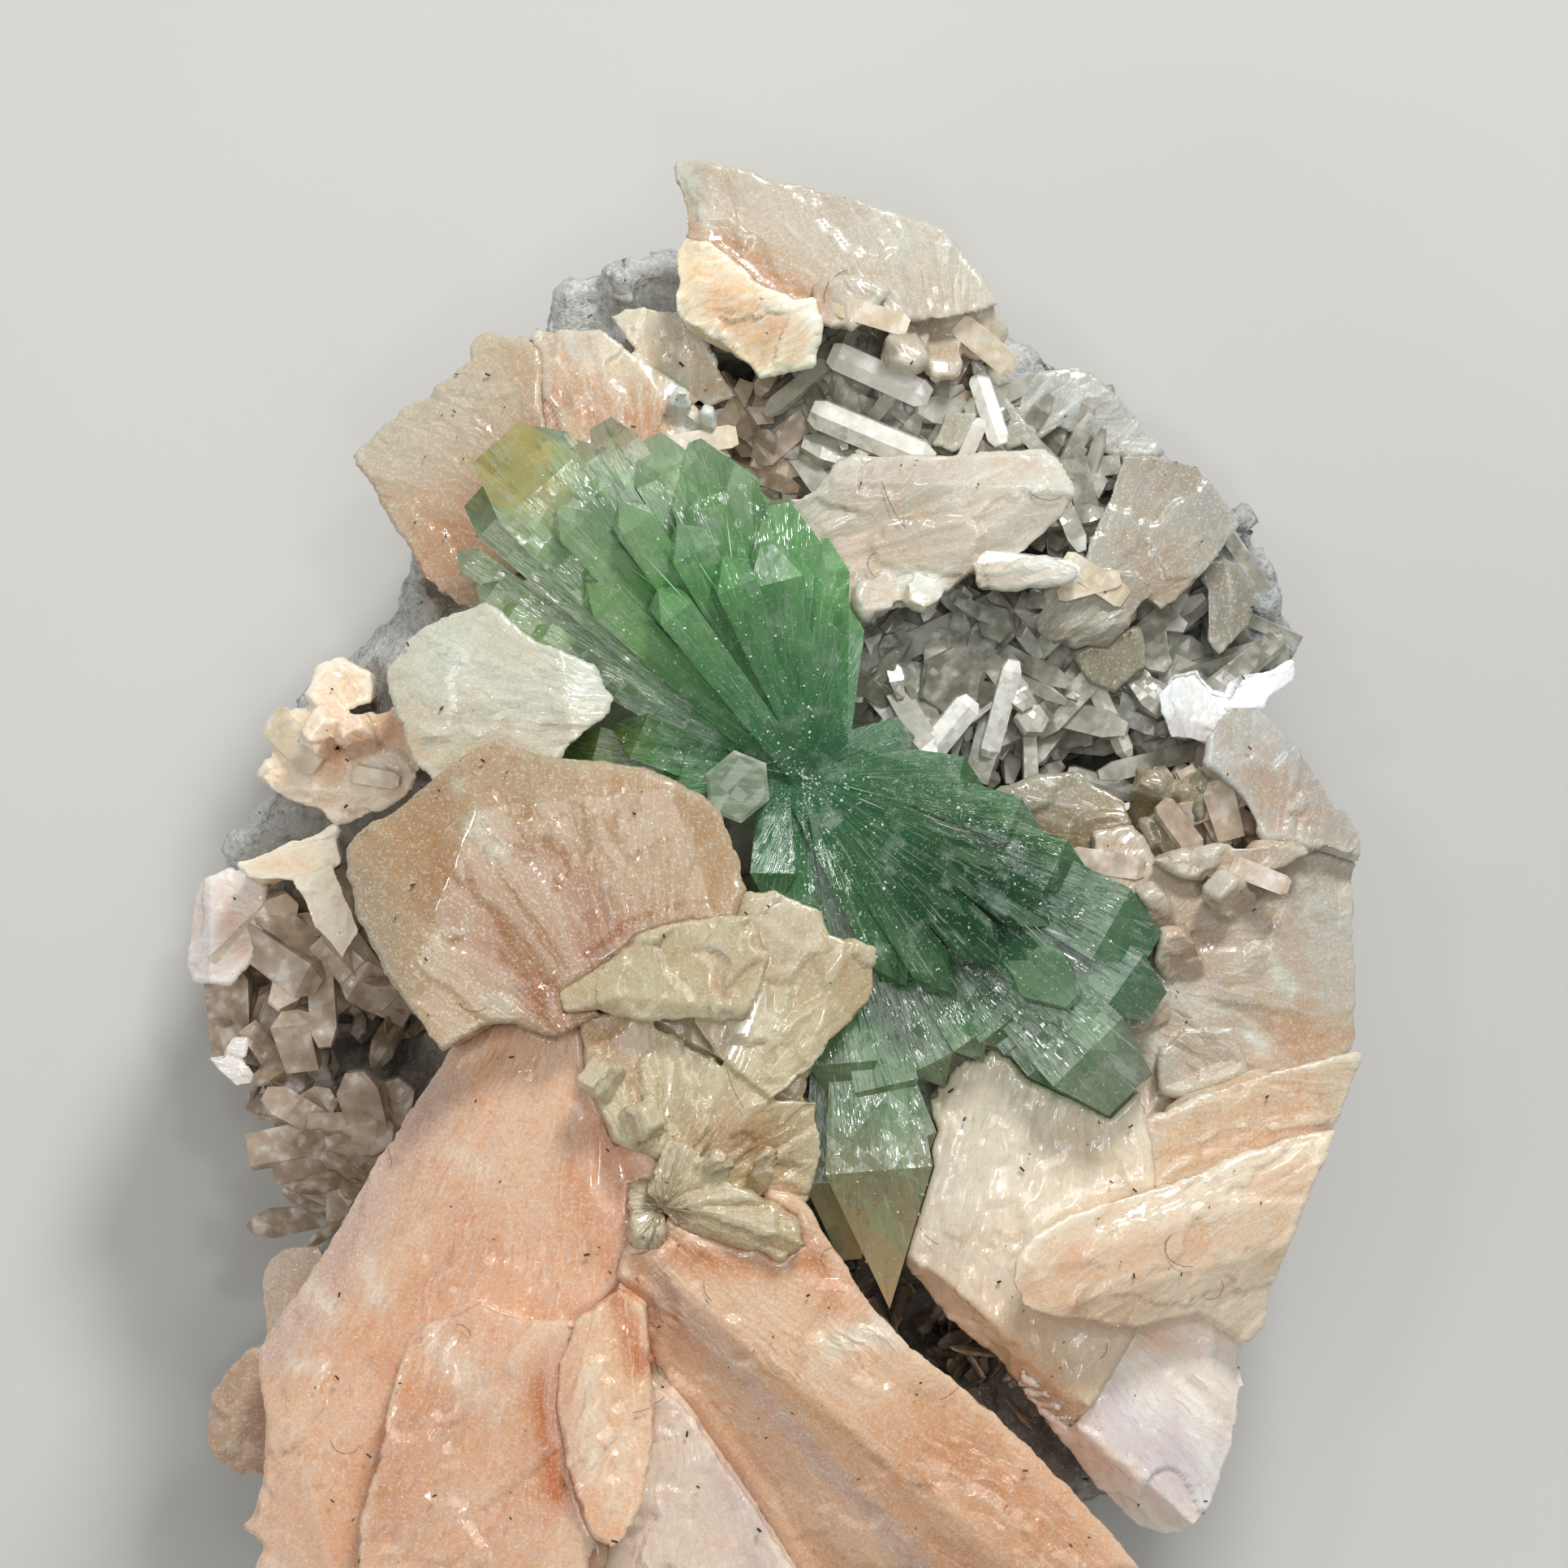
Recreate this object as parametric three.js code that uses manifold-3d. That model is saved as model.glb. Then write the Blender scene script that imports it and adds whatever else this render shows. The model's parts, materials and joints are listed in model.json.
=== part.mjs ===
// Apophyllite with stilbite: a green bow-tie of apophyllite among peach and cream stilbite blades,
// on a piece of grey chalcedony-lined rock whose back is cut flat, so that it lies face up.
// Millimetres. The back face is z = 0, +Z points out of the display face, +Y up the specimen.

import * as THREE from "three";
import { mergeVertices } from "three/addons/utils/BufferGeometryUtils.js";
import Module from "manifold-3d";

const wasm = await Module();
wasm.setup();

// Driving dimensions
const SPECIMEN_WIDTH = 73.5;
const SPECIMEN_LENGTH = 95.8;
const DRAWING_LEFT = 10.9; // the drawing of the display face is laid out on a sheet, y down
const DRAWING_TOP = 9.2;
const GAP = 0.3; // the parting left between two neighbouring crystals
const ROCK_BASE = 14; // thickness of the rock at its rim
const ROCK_CELL = 7; // size of the broken faces on the rock
const ROCK_SHIFT = 0.28; // how far a corner of the broken faces strays, as a share of their size
const ROCK_ROUGHNESS = 1.3;
// Waves that make the rock's surface lumpy: height, waves across and along, and shift
const ROCK_LUMPS = [
  [0.45, 0.71, 0.63, 1.3],
  [0.45, 0.71, -0.63, 1.3],
  [0.6, 1.7, -1.1, 0],
];
// The rock's side from the cut back up: height, size against the outline and roughness
const ROCK_RINGS = [
  { height: 0, size: 0.86, rough: 0.02 },
  { height: 6, size: 0.95, rough: 0.035 },
  { height: 13, size: 1, rough: 0 },
  { height: 50, size: 1, rough: 0 },
];
const WAIST = [49.4, 47.8]; // the bow-tie's waist on the sheet
const WAIST_HEIGHT = 35;
const WAIST_SPREAD = 4; // half the waist, across the bow-tie
const WAIST_CROSSING = 3.4; // how far each prism starts behind the waist
const WAIST_DIP = 0.1; // how far it starts under the waist, as a share of its rise to the tip
const BOW_TURN = -52; // degrees from +X to the line between the two fans
const TIP_SLOPE = 0.6; // length of a prism's pointed end against its width
const REACH = 240; // larger than the whole specimen, for cutting planes
const KEELED_DEPTH = 16; // a blade this deep bulges below its rim before it narrows
const DEEP_TAPER = 0.55; // how far such a blade narrows towards its root
const SHALLOW_TAPER = 0.62;
const BULGE_DOWN = 0.5; // where a deep blade bulges, as a share of its depth
const BULGE_TAPER = 0.33; // the share of its narrowing that it has there
const SHARPEST_CORNER = 0.6; // keeps a pointed corner from shooting out when an outline is widened
const PRISM_ROOT = 0.5; // a prism's width at its root, as a share of its full width
const LONGEST_POINT = 0.6; // the share of a prism that its point may take
const CRYSTAL_ROOT_DEPTH = 1.6; // how deep the small crystals start in the rock
const CRYSTAL_SPREAD = 45; // degrees that they stray to either side of their field's direction
const CRYSTAL_RISE = [0.3, 0.9]; // the height of their tips, as a share of their length
const CRYSTAL_FLATNESS = [0.5, 0.9]; // thickness against width
const CRYSTAL_ROLL = 40; // degrees that they are rolled about their length
const KNOB_STRAY = 0.7;
const KNOB_SIZES = [0.7, 1.2];
const KNOB_RISE = 0.1; // the height of a knob's middle over the rock, as a share of its radius
const LEAST_ROOTED = 0.1; // the share of a knob or small crystal that has to be in the rock
const SAME_PLACE = 1e-4;
const LEAST_DETAIL = 0.06; // corners that stand out less than this are left out of the surface

const COLOURS = {
  rock: 0x9a9d98,
  apophyllite: 0x4f8f5a,
  peach: 0xe0b090,
  cream: 0xd9cdb6,
  pink: 0xc8ad9d,
  pearl: 0xe9e6e2,
};
const ROUGHNESS = { rock: 0.8, apophyllite: 0.1, stilbite: 0.45 };

// Sheet coordinates to the specimen's own frame
const MIDDLE_X = DRAWING_LEFT + SPECIMEN_WIDTH / 2;
const MIDDLE_Y = DRAWING_TOP + SPECIMEN_LENGTH / 2;
const onSheet = ([x, y]) => new THREE.Vector2(x - MIDDLE_X, MIDDLE_Y - y);
const inSpace = ([x, y], z) => new THREE.Vector3(x - MIDDLE_X, MIDDLE_Y - y, z);

// A repeatable source of small variations
function variation(seed) {
  let state = seed;
  return (low, high) => {
    state = (state * 1664525 + 1013904223) % 4294967296;
    return low + ((high - low) * state) / 4294967296;
  };
}

// A closed geometry as a solid
function solidFrom(geometry) {
  const bare = geometry.index ? geometry.toNonIndexed() : geometry.clone();
  bare.deleteAttribute("normal");
  bare.deleteAttribute("uv");
  const merged = mergeVertices(bare, SAME_PLACE);
  const corners = merged.index.array;
  const kept = [];
  for (let i = 0; i < corners.length; i += 3) {
    const [a, b, c] = [corners[i], corners[i + 1], corners[i + 2]];
    if (a !== b && b !== c && c !== a) {
      kept.push(a, b, c);
    }
  }
  return new wasm.Manifold(
    new wasm.Mesh({
      numProp: 3,
      vertProperties: new Float32Array(merged.attributes.position.array),
      triVerts: new Uint32Array(kept),
    }),
  );
}

function geometryFrom(solid) {
  const mesh = solid.getMesh();
  const geometry = new THREE.BufferGeometry();
  geometry.setAttribute("position", new THREE.BufferAttribute(mesh.vertProperties, 3));
  geometry.setIndex(new THREE.BufferAttribute(mesh.triVerts, 1));
  return geometry;
}

// The largest of the pieces that a cut leaves
function largest(solid) {
  const pieces = solid.decompose();
  return pieces.reduce((best, piece) => (piece.volume() > best.volume() ? piece : best));
}

function movePoints(geometry, move) {
  const points = geometry.attributes.position;
  const point = new THREE.Vector3();
  for (let i = 0; i < points.count; i++) {
    point.fromBufferAttribute(points, i);
    move(point);
    points.setXYZ(i, point.x, point.y, point.z);
  }
  return geometry;
}

// Everything above the surface z = height(x, y), for planes
function above(height) {
  const block = new THREE.BoxGeometry(REACH, REACH, REACH).translate(0, 0, REACH / 2);
  return solidFrom(movePoints(block, (p) => (p.z += height(p.x, p.y))));
}

// An outline moved outwards by a distance, corner by corner
function widened(points, distance) {
  const count = points.length;
  return points.map((point, i) => {
    const before = point.clone().sub(points[(i + count - 1) % count]).normalize();
    const after = points[(i + 1) % count].clone().sub(point).normalize();
    const out = new THREE.Vector2(before.y + after.y, -before.x - after.x);
    const spread = Math.max(SHARPEST_CORNER, 1 + before.dot(after));
    return out.multiplyScalar(distance / spread).add(point);
  });
}

// A stilbite blade: its outline as seen face on, the height of its front face at the middle, the
// rise of that face to the right and up, its depth down to its root, and facets that fall away
// from a line through a point. Below the rim it narrows like a keel towards the root.
function blade(form, grow = 0) {
  const { outline, top, slope = [0, 0], depth, root, facets = [] } = form;
  const deep = depth >= KEELED_DEPTH;
  const { taper = deep ? DEEP_TAPER : SHALLOW_TAPER } = form;
  const points = outline.map(onSheet);
  if (THREE.ShapeUtils.isClockWise(points)) {
    points.reverse();
  }
  const wide = widened(points, grow);
  const middle = new THREE.Box2().setFromPoints(points).getCenter(new THREE.Vector2());
  const foot = root ? onSheet(root) : middle;
  const rings = [
    { down: depth + grow, size: taper },
    { down: -grow, size: 1 },
  ];
  if (deep) {
    rings.splice(1, 0, {
      down: depth * BULGE_DOWN,
      size: THREE.MathUtils.lerp(1, taper, BULGE_TAPER),
    });
  }
  const geometry = new THREE.ExtrudeGeometry(new THREE.Shape(points), {
    depth: 1,
    steps: rings.length - 1,
    bevelEnabled: false,
  });
  const face = (x, y) => top + slope[0] * (x - middle.x) + slope[1] * (y - middle.y);
  movePoints(geometry, (p) => {
    const ring = rings[Math.round(p.z * (rings.length - 1))];
    const corner = points.findIndex((q) => Math.hypot(p.x - q.x, p.y - q.y) < SAME_PLACE);
    const place = wide[corner];
    p.x = foot.x + (place.x - foot.x) * ring.size;
    p.y = foot.y + (place.y - foot.y) * ring.size;
    p.z = face(place.x, place.y) - ring.down;
  });
  let solid = solidFrom(geometry);
  for (const { at, away, fall } of facets) {
    const start = onSheet(at);
    const turn = THREE.MathUtils.degToRad(away);
    const plane = (x, y) => {
      const beyond = (x - start.x) * Math.cos(turn) + (y - start.y) * Math.sin(turn);
      return face(x, y) - fall * beyond + grow * (1 + fall);
    };
    solid = solid.subtract(above(plane));
  }
  return solid;
}

// A single prism from its root to its tip, with a point or a blunt end
function prism(form, grow = 0) {
  const { from, to, width, thick, sides = 4, rootSize = PRISM_ROOT } = form;
  const { point = 1, blunt = 0, roll = 0 } = form;
  const start = inSpace(from, from[2]);
  const end = inSpace(to, to[2]);
  const along = end.clone().sub(start);
  const length = along.length();
  const tip = Math.min(point, length * LONGEST_POINT);
  const profile = [
    new THREE.Vector2(0, -grow),
    new THREE.Vector2(rootSize, -grow),
    new THREE.Vector2(1, length - tip),
    new THREE.Vector2(blunt, length + grow),
    new THREE.Vector2(0, length + grow),
  ];
  if (blunt === 0) {
    profile.splice(3, 1);
  }
  const geometry = new THREE.LatheGeometry(profile, sides);
  geometry.rotateY(Math.PI / sides);
  const flat = 1 / Math.cos(Math.PI / sides);
  geometry.scale((width / 2 + grow) * flat, 1, (thick / 2 + grow) * flat);
  const up = along.normalize();
  const out = new THREE.Vector3(0, 0, 1).projectOnPlane(up).normalize();
  out.applyAxisAngle(up, THREE.MathUtils.degToRad(roll));
  const side = new THREE.Vector3().crossVectors(up, out);
  geometry.applyMatrix4(new THREE.Matrix4().makeBasis(side, up, out));
  geometry.translate(start.x, start.y, start.z);
  return solidFrom(geometry);
}

const joined = (solids) => solids.reduce((whole, solid) => whole.add(solid));

// Apophyllite bow-tie: prisms that fan out from one waist towards the upper left and lower right.
// Each row is a tip on the sheet, its height, the prism's width and thickness, and how blunt it is.
const UPPER_TIPS = [
  [30.6, 27.2, 37, 6.4, 6, 0.62],
  [28.1, 33.9, 33, 1.8, 3, 0],
  [29.2, 30.6, 34, 3.4, 5, 0.5],
  [32.9, 26.2, 34, 3.0, 5, 0],
  [35.2, 27.0, 36, 3.0, 4, 0],
  [37.0, 26.1, 34, 3.4, 5, 0.45],
  [40.0, 27.0, 35, 4.2, 5, 0.4],
  [42.8, 27.2, 37, 5.6, 5, 0.15],
  [45.2, 29.6, 35, 4.6, 5, 0.3],
  [47.9, 31.0, 38, 4.4, 5, 0.35],
  [50.4, 33.2, 35, 3.6, 6, 0.35],
  [51.6, 37.6, 32, 3.4, 6, 0.4],
  [47.2, 33.6, 42, 3.4, 3, 0.25],
  [49.4, 34.6, 40, 3.0, 4, 0],
  [29.3, 36.0, 34, 2.0, 4, 0],
  [30.4, 37.4, 35, 2.0, 4, 0],
  [32.3, 38.6, 36, 2.2, 4, 0],
  [34.4, 31.2, 40, 2.6, 3, 0],
  [38.2, 31.0, 41, 2.6, 3, 0],
  [41.8, 32.4, 42, 2.8, 3, 0],
  [44.6, 34.4, 43, 2.6, 3, 0],
  [36.2, 36.0, 41, 2.4, 3, 0],
  [40.6, 36.4, 43, 2.4, 3, 0],
  [35.0, 46.0, 33, 3.4, 5, 0.35],
  [37.6, 44.6, 36, 3.0, 4, 0],
  [40.2, 47.4, 35, 3.0, 5, 0],
];
const LOWER_TIPS = [
  [56.4, 45.4, 33, 2.8, 5, 0],
  [60.6, 48.4, 34, 3.0, 5, 0],
  [64.2, 51.2, 36, 3.0, 5, 0],
  [67.0, 54.4, 36, 3.6, 5, 0.3],
  [71.0, 58.4, 35, 5.0, 6, 0.45],
  [71.2, 62.0, 34, 4.4, 6, 0.5],
  [69.6, 67.4, 37, 6.0, 6, 0.62],
  [66.4, 66.8, 36, 4.0, 5, 0.5],
  [64.0, 65.4, 36, 2.8, 5, 0],
  [62.4, 64.8, 37, 2.6, 5, 0],
  [60.6, 65.4, 37, 2.4, 5, 0],
  [58.2, 67.0, 36, 2.8, 5, 0],
  [57.0, 71.6, 35, 2.6, 5, 0],
  [61.4, 59.2, 42, 3.0, 3, 0],
  [64.6, 57.0, 41, 3.0, 3, 0],
  [58.4, 61.0, 42, 2.6, 3, 0],
  [66.0, 61.6, 41, 3.6, 3, 0.3],
  [55.8, 60.6, 41, 2.6, 3, 0],
  [49.8, 60.4, 38, 3.0, 4, 0.25],
  [47.6, 56.0, 38, 2.8, 4, 0.2],
];

function apophylliteBowTie(grow = 0) {
  const across = THREE.MathUtils.degToRad(BOW_TURN + 90);
  const crystals = [];
  for (const [x, y, z, width, thick, blunt] of [...UPPER_TIPS, ...LOWER_TIPS]) {
    const away = new THREE.Vector2(x - WAIST[0], WAIST[1] - y);
    const heading = away.angle();
    const shift = Math.cos(heading - across) * WAIST_SPREAD;
    const start = [
      WAIST[0] + Math.cos(across) * shift - Math.cos(heading) * WAIST_CROSSING,
      WAIST[1] - Math.sin(across) * shift + Math.sin(heading) * WAIST_CROSSING,
      WAIST_HEIGHT - (z - WAIST_HEIGHT) * WAIST_DIP,
    ];
    const form = { from: start, to: [x, y, z], width, thick, blunt, point: TIP_SLOPE * width };
    crystals.push(prism(form, grow));
  }
  const tanCrystals = [
    { from: [53.0, 57.5, 35], to: [54.8, 80.6, 36], width: 6.6, thick: 7, point: 8.5 },
    { from: [51.5, 60, 34], to: [52.4, 77.6, 33], width: 5.2, thick: 6, point: 5, blunt: 0.25 },
    { from: [50.8, 52, 36], to: [52.2, 68.4, 36], width: 4.2, thick: 6, point: 3, blunt: 0.3 },
    { from: [50.8, 50, 37], to: [55.2, 69.6, 36], width: 4.0, thick: 5, point: 3, blunt: 0.2 },
  ];
  for (const form of tanCrystals) {
    crystals.push(prism(form, grow));
  }
  const waistPlate = {
    outline: [[43.4, 47.8], [46, 47.2], [47.8, 48.8], [46, 50], [44, 49.4]],
    top: 41.2,
    depth: 7,
  };
  crystals.push(blade(waistPlate, grow));
  return joined(crystals);
}

// Stilbite, from the front of the display face to the back: a piece further on in the list is cut
// back where one before it passes in front.
const STILBITE = {
  stilbite_front_cluster: {
    colour: COLOURS.cream,
    blades: [
      {
        outline: [
          [38.5, 60.0], [43.0, 57.6], [49.0, 58.6], [51.0, 62.0], [49.6, 67.0], [48.4, 72.6],
          [44.0, 74.0], [39.6, 70.0], [38.0, 65.0],
        ],
        top: 44.2,
        depth: 16,
        root: [44.5, 66],
      },
      {
        outline: [
          [46.3, 55.0], [47.8, 54.8], [50.6, 56.0], [51.0, 57.5], [53.9, 58.2], [54.0, 59.5],
          [53.8, 61.5], [51.0, 64.0], [50.0, 65.5], [47.5, 67.5], [45.0, 65.5], [42.6, 62.8],
          [43.2, 60.6], [44.6, 58.0],
        ],
        top: 46.5,
        slope: [0.02, 0.04],
        depth: 14,
        root: [46.5, 63],
        facets: [{ at: [51.6, 60], away: -20, fall: 0.35 }],
      },
      {
        outline: [
          [39.5, 57.5], [42.5, 56.5], [46.4, 56.2], [47.4, 59.0], [46.0, 62.5], [43.5, 62.6],
          [39.5, 62.6], [37.0, 61.8], [34.8, 62.0], [34.5, 61.0], [37.8, 59.0],
        ],
        top: 48.2,
        slope: [0.12, 0.02],
        depth: 12,
        root: [43, 62],
        facets: [
          { at: [41.5, 61.5], away: -95, fall: 0.5 },
          { at: [38.5, 60], away: 150, fall: 0.3 },
        ],
      },
      {
        outline: [
          [36.0, 62.2], [40.0, 62.6], [44.6, 65.4], [47.5, 67.5], [50.5, 67.6], [50.7, 71.0],
          [50.2, 73.0], [49.7, 74.2], [44.0, 72.0], [39.8, 70.4], [38.0, 70.0], [36.2, 66.0],
        ],
        top: 45.8,
        slope: [0.03, 0.05],
        depth: 16,
        root: [43, 68],
        facets: [{ at: [46, 68.5], away: -50, fall: 0.3 }],
      },
      {
        outline: [
          [41.5, 69.5], [45.0, 72.5], [49.2, 74.8], [49.6, 76.4], [48.2, 77.3], [46.8, 76.4],
          [45.8, 76.6], [42.0, 75.2], [39.9, 73.0],
        ],
        top: 46.8,
        slope: [0.02, 0.06],
        depth: 11,
        root: [44, 72],
        facets: [{ at: [43, 74], away: -110, fall: 0.5 }],
      },
    ],
    rods: [
      { from: [39.6, 71.0, 41], to: [40.0, 76.0, 46.6], width: 2.0, thick: 1.6, blunt: 0.7 },
      { from: [38.0, 69.6, 43], to: [40.4, 68.4, 47.4], width: 2.2, thick: 1.8, blunt: 0.6 },
      { from: [38.4, 67.0, 43], to: [36.6, 65.8, 47.4], width: 2.4, thick: 2.0, blunt: 0.7 },
      { from: [45.5, 74.5, 43], to: [47.6, 70.6, 47.6], width: 1.5, thick: 1.2, blunt: 0.5 },
      { from: [44.0, 74.0, 43], to: [44.4, 70.8, 47.8], width: 1.8, thick: 1.4, blunt: 0.5 },
    ],
  },
  stilbite_front_paddle: {
    colour: COLOURS.peach,
    blades: [
      {
        outline: [
          [30.9, 45.2], [33.3, 46.3], [36.0, 46.9], [39.5, 47.3], [43.1, 48.8], [44.5, 50.0],
          [45.8, 53.0], [45.4, 56.5], [43.0, 60.0], [37.0, 62.4], [34.2, 63.7], [32.0, 62.8],
          [30.0, 63.0], [27.5, 64.5], [25.0, 61.3], [23.5, 58.8], [22.3, 56.5], [21.5, 54.0],
          [21.4, 52.0], [22.0, 51.0], [24.3, 49.8], [27.0, 47.5], [29.3, 45.8],
        ],
        top: 46.2,
        slope: [0.03, -0.04],
        depth: 20,
        root: [36, 60],
        facets: [
          { at: [27.5, 55], away: 160, fall: 0.28 },
          { at: [24.2, 57], away: 195, fall: 0.8 },
          { at: [34, 49.2], away: 95, fall: 0.3 },
          { at: [42.6, 52], away: 20, fall: 0.35 },
        ],
      },
    ],
    rods: [],
  },
  stilbite_fan_petal: {
    colour: COLOURS.peach,
    blades: [
      {
        outline: [
          [38.3, 78.8], [39.8, 80.0], [40.2, 84.5], [40.4, 88.5], [39.6, 92.0], [38.6, 94.2],
          [37.8, 94.8], [36.4, 93.4], [35.3, 90.5], [34.5, 86.4], [34.7, 83.6], [36.0, 81.0],
        ],
        top: 46.4,
        slope: [0.02, 0.08],
        depth: 11,
        root: [38.4, 80],
        facets: [
          { at: [36.3, 86], away: 175, fall: 0.5 },
          { at: [39.3, 86], away: 5, fall: 0.4 },
        ],
      },
    ],
    rods: [],
  },
  stilbite_prism_band: {
    colour: COLOURS.peach,
    blades: [
      {
        outline: [
          [49.3, 73.4], [50.5, 75.5], [55.0, 81.8], [61.0, 86.5], [66.5, 92.0], [70.5, 96.6],
          [70.8, 98.2], [68.0, 101.5], [61.0, 103.8], [54.0, 104.4], [50.5, 99.0], [46.5, 92.5],
          [42.5, 86.5], [39.0, 80.5], [38.2, 77.4], [39.8, 73.6], [44.0, 72.4],
        ],
        top: 43.6,
        slope: [-0.06, 0.1],
        depth: 21,
        root: [50, 88],
        facets: [
          { at: [46.5, 82.7], away: 230, fall: 0.55 },
          { at: [57.6, 83.4], away: 42, fall: 0.9 },
          { at: [63, 99], away: -62, fall: 0.7 },
        ],
      },
    ],
    rods: [],
  },
  stilbite_pearly_flute: {
    colour: COLOURS.pearl,
    blades: [
      {
        outline: [
          [39.6, 84.0], [42.2, 86.2], [46.6, 92.6], [50.6, 99.2], [53.8, 104.6], [46.0, 105.0],
          [37.0, 104.6], [36.4, 99.0], [37.8, 94.8], [39.6, 92.0],
        ],
        top: 42.6,
        slope: [-0.02, 0.16],
        depth: 19,
        root: [44, 94],
        facets: [
          { at: [44, 99.5], away: -85, fall: 0.8 },
          { at: [41.2, 95], away: 200, fall: 0.3 },
        ],
      },
    ],
    rods: [],
  },
  stilbite_lower_sheaf: {
    colour: COLOURS.peach,
    blades: [
      {
        outline: [
          [27.4, 64.5], [29.0, 62.0], [35.5, 61.0], [40.5, 66.0], [42.5, 71.0], [42.0, 75.6],
          [36.0, 81.0], [34.5, 86.0], [35.3, 90.5], [37.2, 95.0], [36.6, 104.4], [27.0, 105.0],
          [19.0, 103.0], [14.9, 99.2], [15.5, 96.6], [16.1, 95.4], [15.4, 94.8], [14.6, 94.3],
          [15.0, 93.9], [15.8, 92.6], [16.2, 91.0], [16.4, 87.0], [15.6, 84.0], [16.0, 82.2],
          [19.0, 77.7], [22.5, 72.2],
        ],
        top: 42.0,
        slope: [0.12, 0.06],
        depth: 20,
        root: [29, 84],
        facets: [
          { at: [24.5, 77], away: 148, fall: 0.55 },
          { at: [20.4, 77.4], away: 148, fall: 1.4 },
          { at: [24, 100], away: -110, fall: 0.7 },
          { at: [19.5, 92], away: 195, fall: 0.45 },
        ],
      },
      {
        outline: [
          [25.0, 81.6], [29.5, 79.6], [33.0, 80.8], [35.4, 80.8], [34.6, 86.0], [35.4, 90.6],
          [36.6, 94.0], [35.8, 101.5], [29.0, 102.6], [23.4, 100.4], [22.2, 96.6], [22.2, 94.0],
          [23.4, 89.8], [24.3, 84.4],
        ],
        top: 44.2,
        slope: [0.1, 0.1],
        depth: 9,
        root: [30, 86],
        facets: [
          { at: [30, 84], away: 120, fall: 0.35 },
          { at: [29, 99], away: -100, fall: 0.8 },
        ],
      },
      {
        outline: [
          [32.4, 90.8], [34.6, 90.4], [35.4, 92.2], [34.4, 93.6], [32.6, 93.0],
        ],
        top: 44.6,
        depth: 6,
        slope: [0.05, 0.1],
      },
    ],
    rods: [],
  },
  stilbite_cream_leaf: {
    colour: COLOURS.cream,
    blades: [
      {
        outline: [
          [25.4, 39.0], [27.3, 37.9], [30.0, 37.1], [33.0, 39.5], [37.0, 41.0], [38.1, 43.0],
          [37.9, 43.9], [34.5, 46.5], [30.9, 48.0], [26.8, 48.0], [25.5, 47.0], [24.5, 43.5],
          [23.8, 42.0], [24.0, 41.0],
        ],
        top: 39.6,
        slope: [0.2, -0.09],
        depth: 14,
        root: [27.5, 44.5],
        facets: [
          { at: [27, 41.5], away: 140, fall: 0.45 },
          { at: [35, 43], away: 10, fall: 0.35 },
        ],
      },
    ],
    rods: [],
  },
  stilbite_leaf_over_pearly: {
    colour: COLOURS.pink,
    blades: [
      {
        outline: [
          [62.0, 78.8], [62.3, 77.3], [63.4, 75.9], [65.5, 74.6], [72.5, 72.5], [79.5, 69.8],
          [82.4, 69.4], [81.0, 72.6], [79.9, 75.0], [79.2, 77.1], [78.5, 79.7], [78.0, 82.2],
          [77.0, 83.3], [73.8, 81.0], [69.5, 82.0], [64.5, 81.0], [62.5, 80.3],
        ],
        top: 38.4,
        slope: [-0.27, 0.03],
        depth: 11,
        root: [74, 76],
        facets: [
          { at: [70, 79], away: -75, fall: 0.5 },
          { at: [72, 75.4], away: 108, fall: 0.2 },
          { at: [64, 78.5], away: 200, fall: 0.4 },
        ],
      },
    ],
    rods: [],
  },
  stilbite_pearly_blade: {
    colour: COLOURS.pearl,
    blades: [
      {
        outline: [
          [60.3, 64.5], [62.5, 65.0], [66.0, 66.4], [70.2, 67.0], [71.0, 72.0], [70.8, 77.0],
          [69.8, 82.2], [66.0, 88.6], [61.6, 84.8], [57.0, 80.6], [56.3, 79.4], [55.6, 78.0],
          [56.0, 75.0], [57.0, 71.5], [57.5, 67.0],
        ],
        top: 35.6,
        slope: [-0.06, 0.08],
        depth: 17,
        root: [66, 75],
        facets: [
          { at: [59.4, 79.8], away: 228, fall: 1.6 },
          { at: [60.5, 75], away: 165, fall: 0.2 },
        ],
      },
    ],
    rods: [],
  },
  stilbite_lower_tip: {
    colour: COLOURS.pearl,
    blades: [
      {
        outline: [
          [64.0, 82.4], [69.5, 81.4], [73.8, 80.6], [76.8, 83.0], [76.7, 84.3], [76.9, 85.5],
          [76.3, 88.4], [75.5, 90.7], [75.2, 91.8], [74.4, 93.5], [73.3, 94.8], [72.3, 95.4],
          [70.6, 95.4], [68.0, 92.6], [65.5, 89.0], [62.6, 85.4],
        ],
        top: 33.2,
        slope: [-0.04, 0.2],
        depth: 16,
        root: [68, 84],
        facets: [
          { at: [65.6, 87.0], away: 228, fall: 1.6 },
          { at: [74.6, 88], away: 0, fall: 0.5 },
        ],
      },
    ],
    rods: [],
  },
  stilbite_peach_plate: {
    colour: COLOURS.peach,
    blades: [
      {
        outline: [
          [72.3, 68.3], [74.8, 67.2], [77.3, 66.3], [80.5, 65.6], [84.2, 64.8], [83.8, 66.0],
          [83.3, 67.5], [82.3, 70.0], [79.6, 71.2], [75.0, 73.4], [69.6, 75.0], [69.6, 69.6],
        ],
        top: 33.8,
        slope: [-0.2, 0.09],
        depth: 10,
        root: [77, 69],
        facets: [{ at: [81, 68], away: -10, fall: 0.35 }],
      },
    ],
    rods: [],
  },
  stilbite_right_mass: {
    colour: COLOURS.pink,
    blades: [
      {
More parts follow.
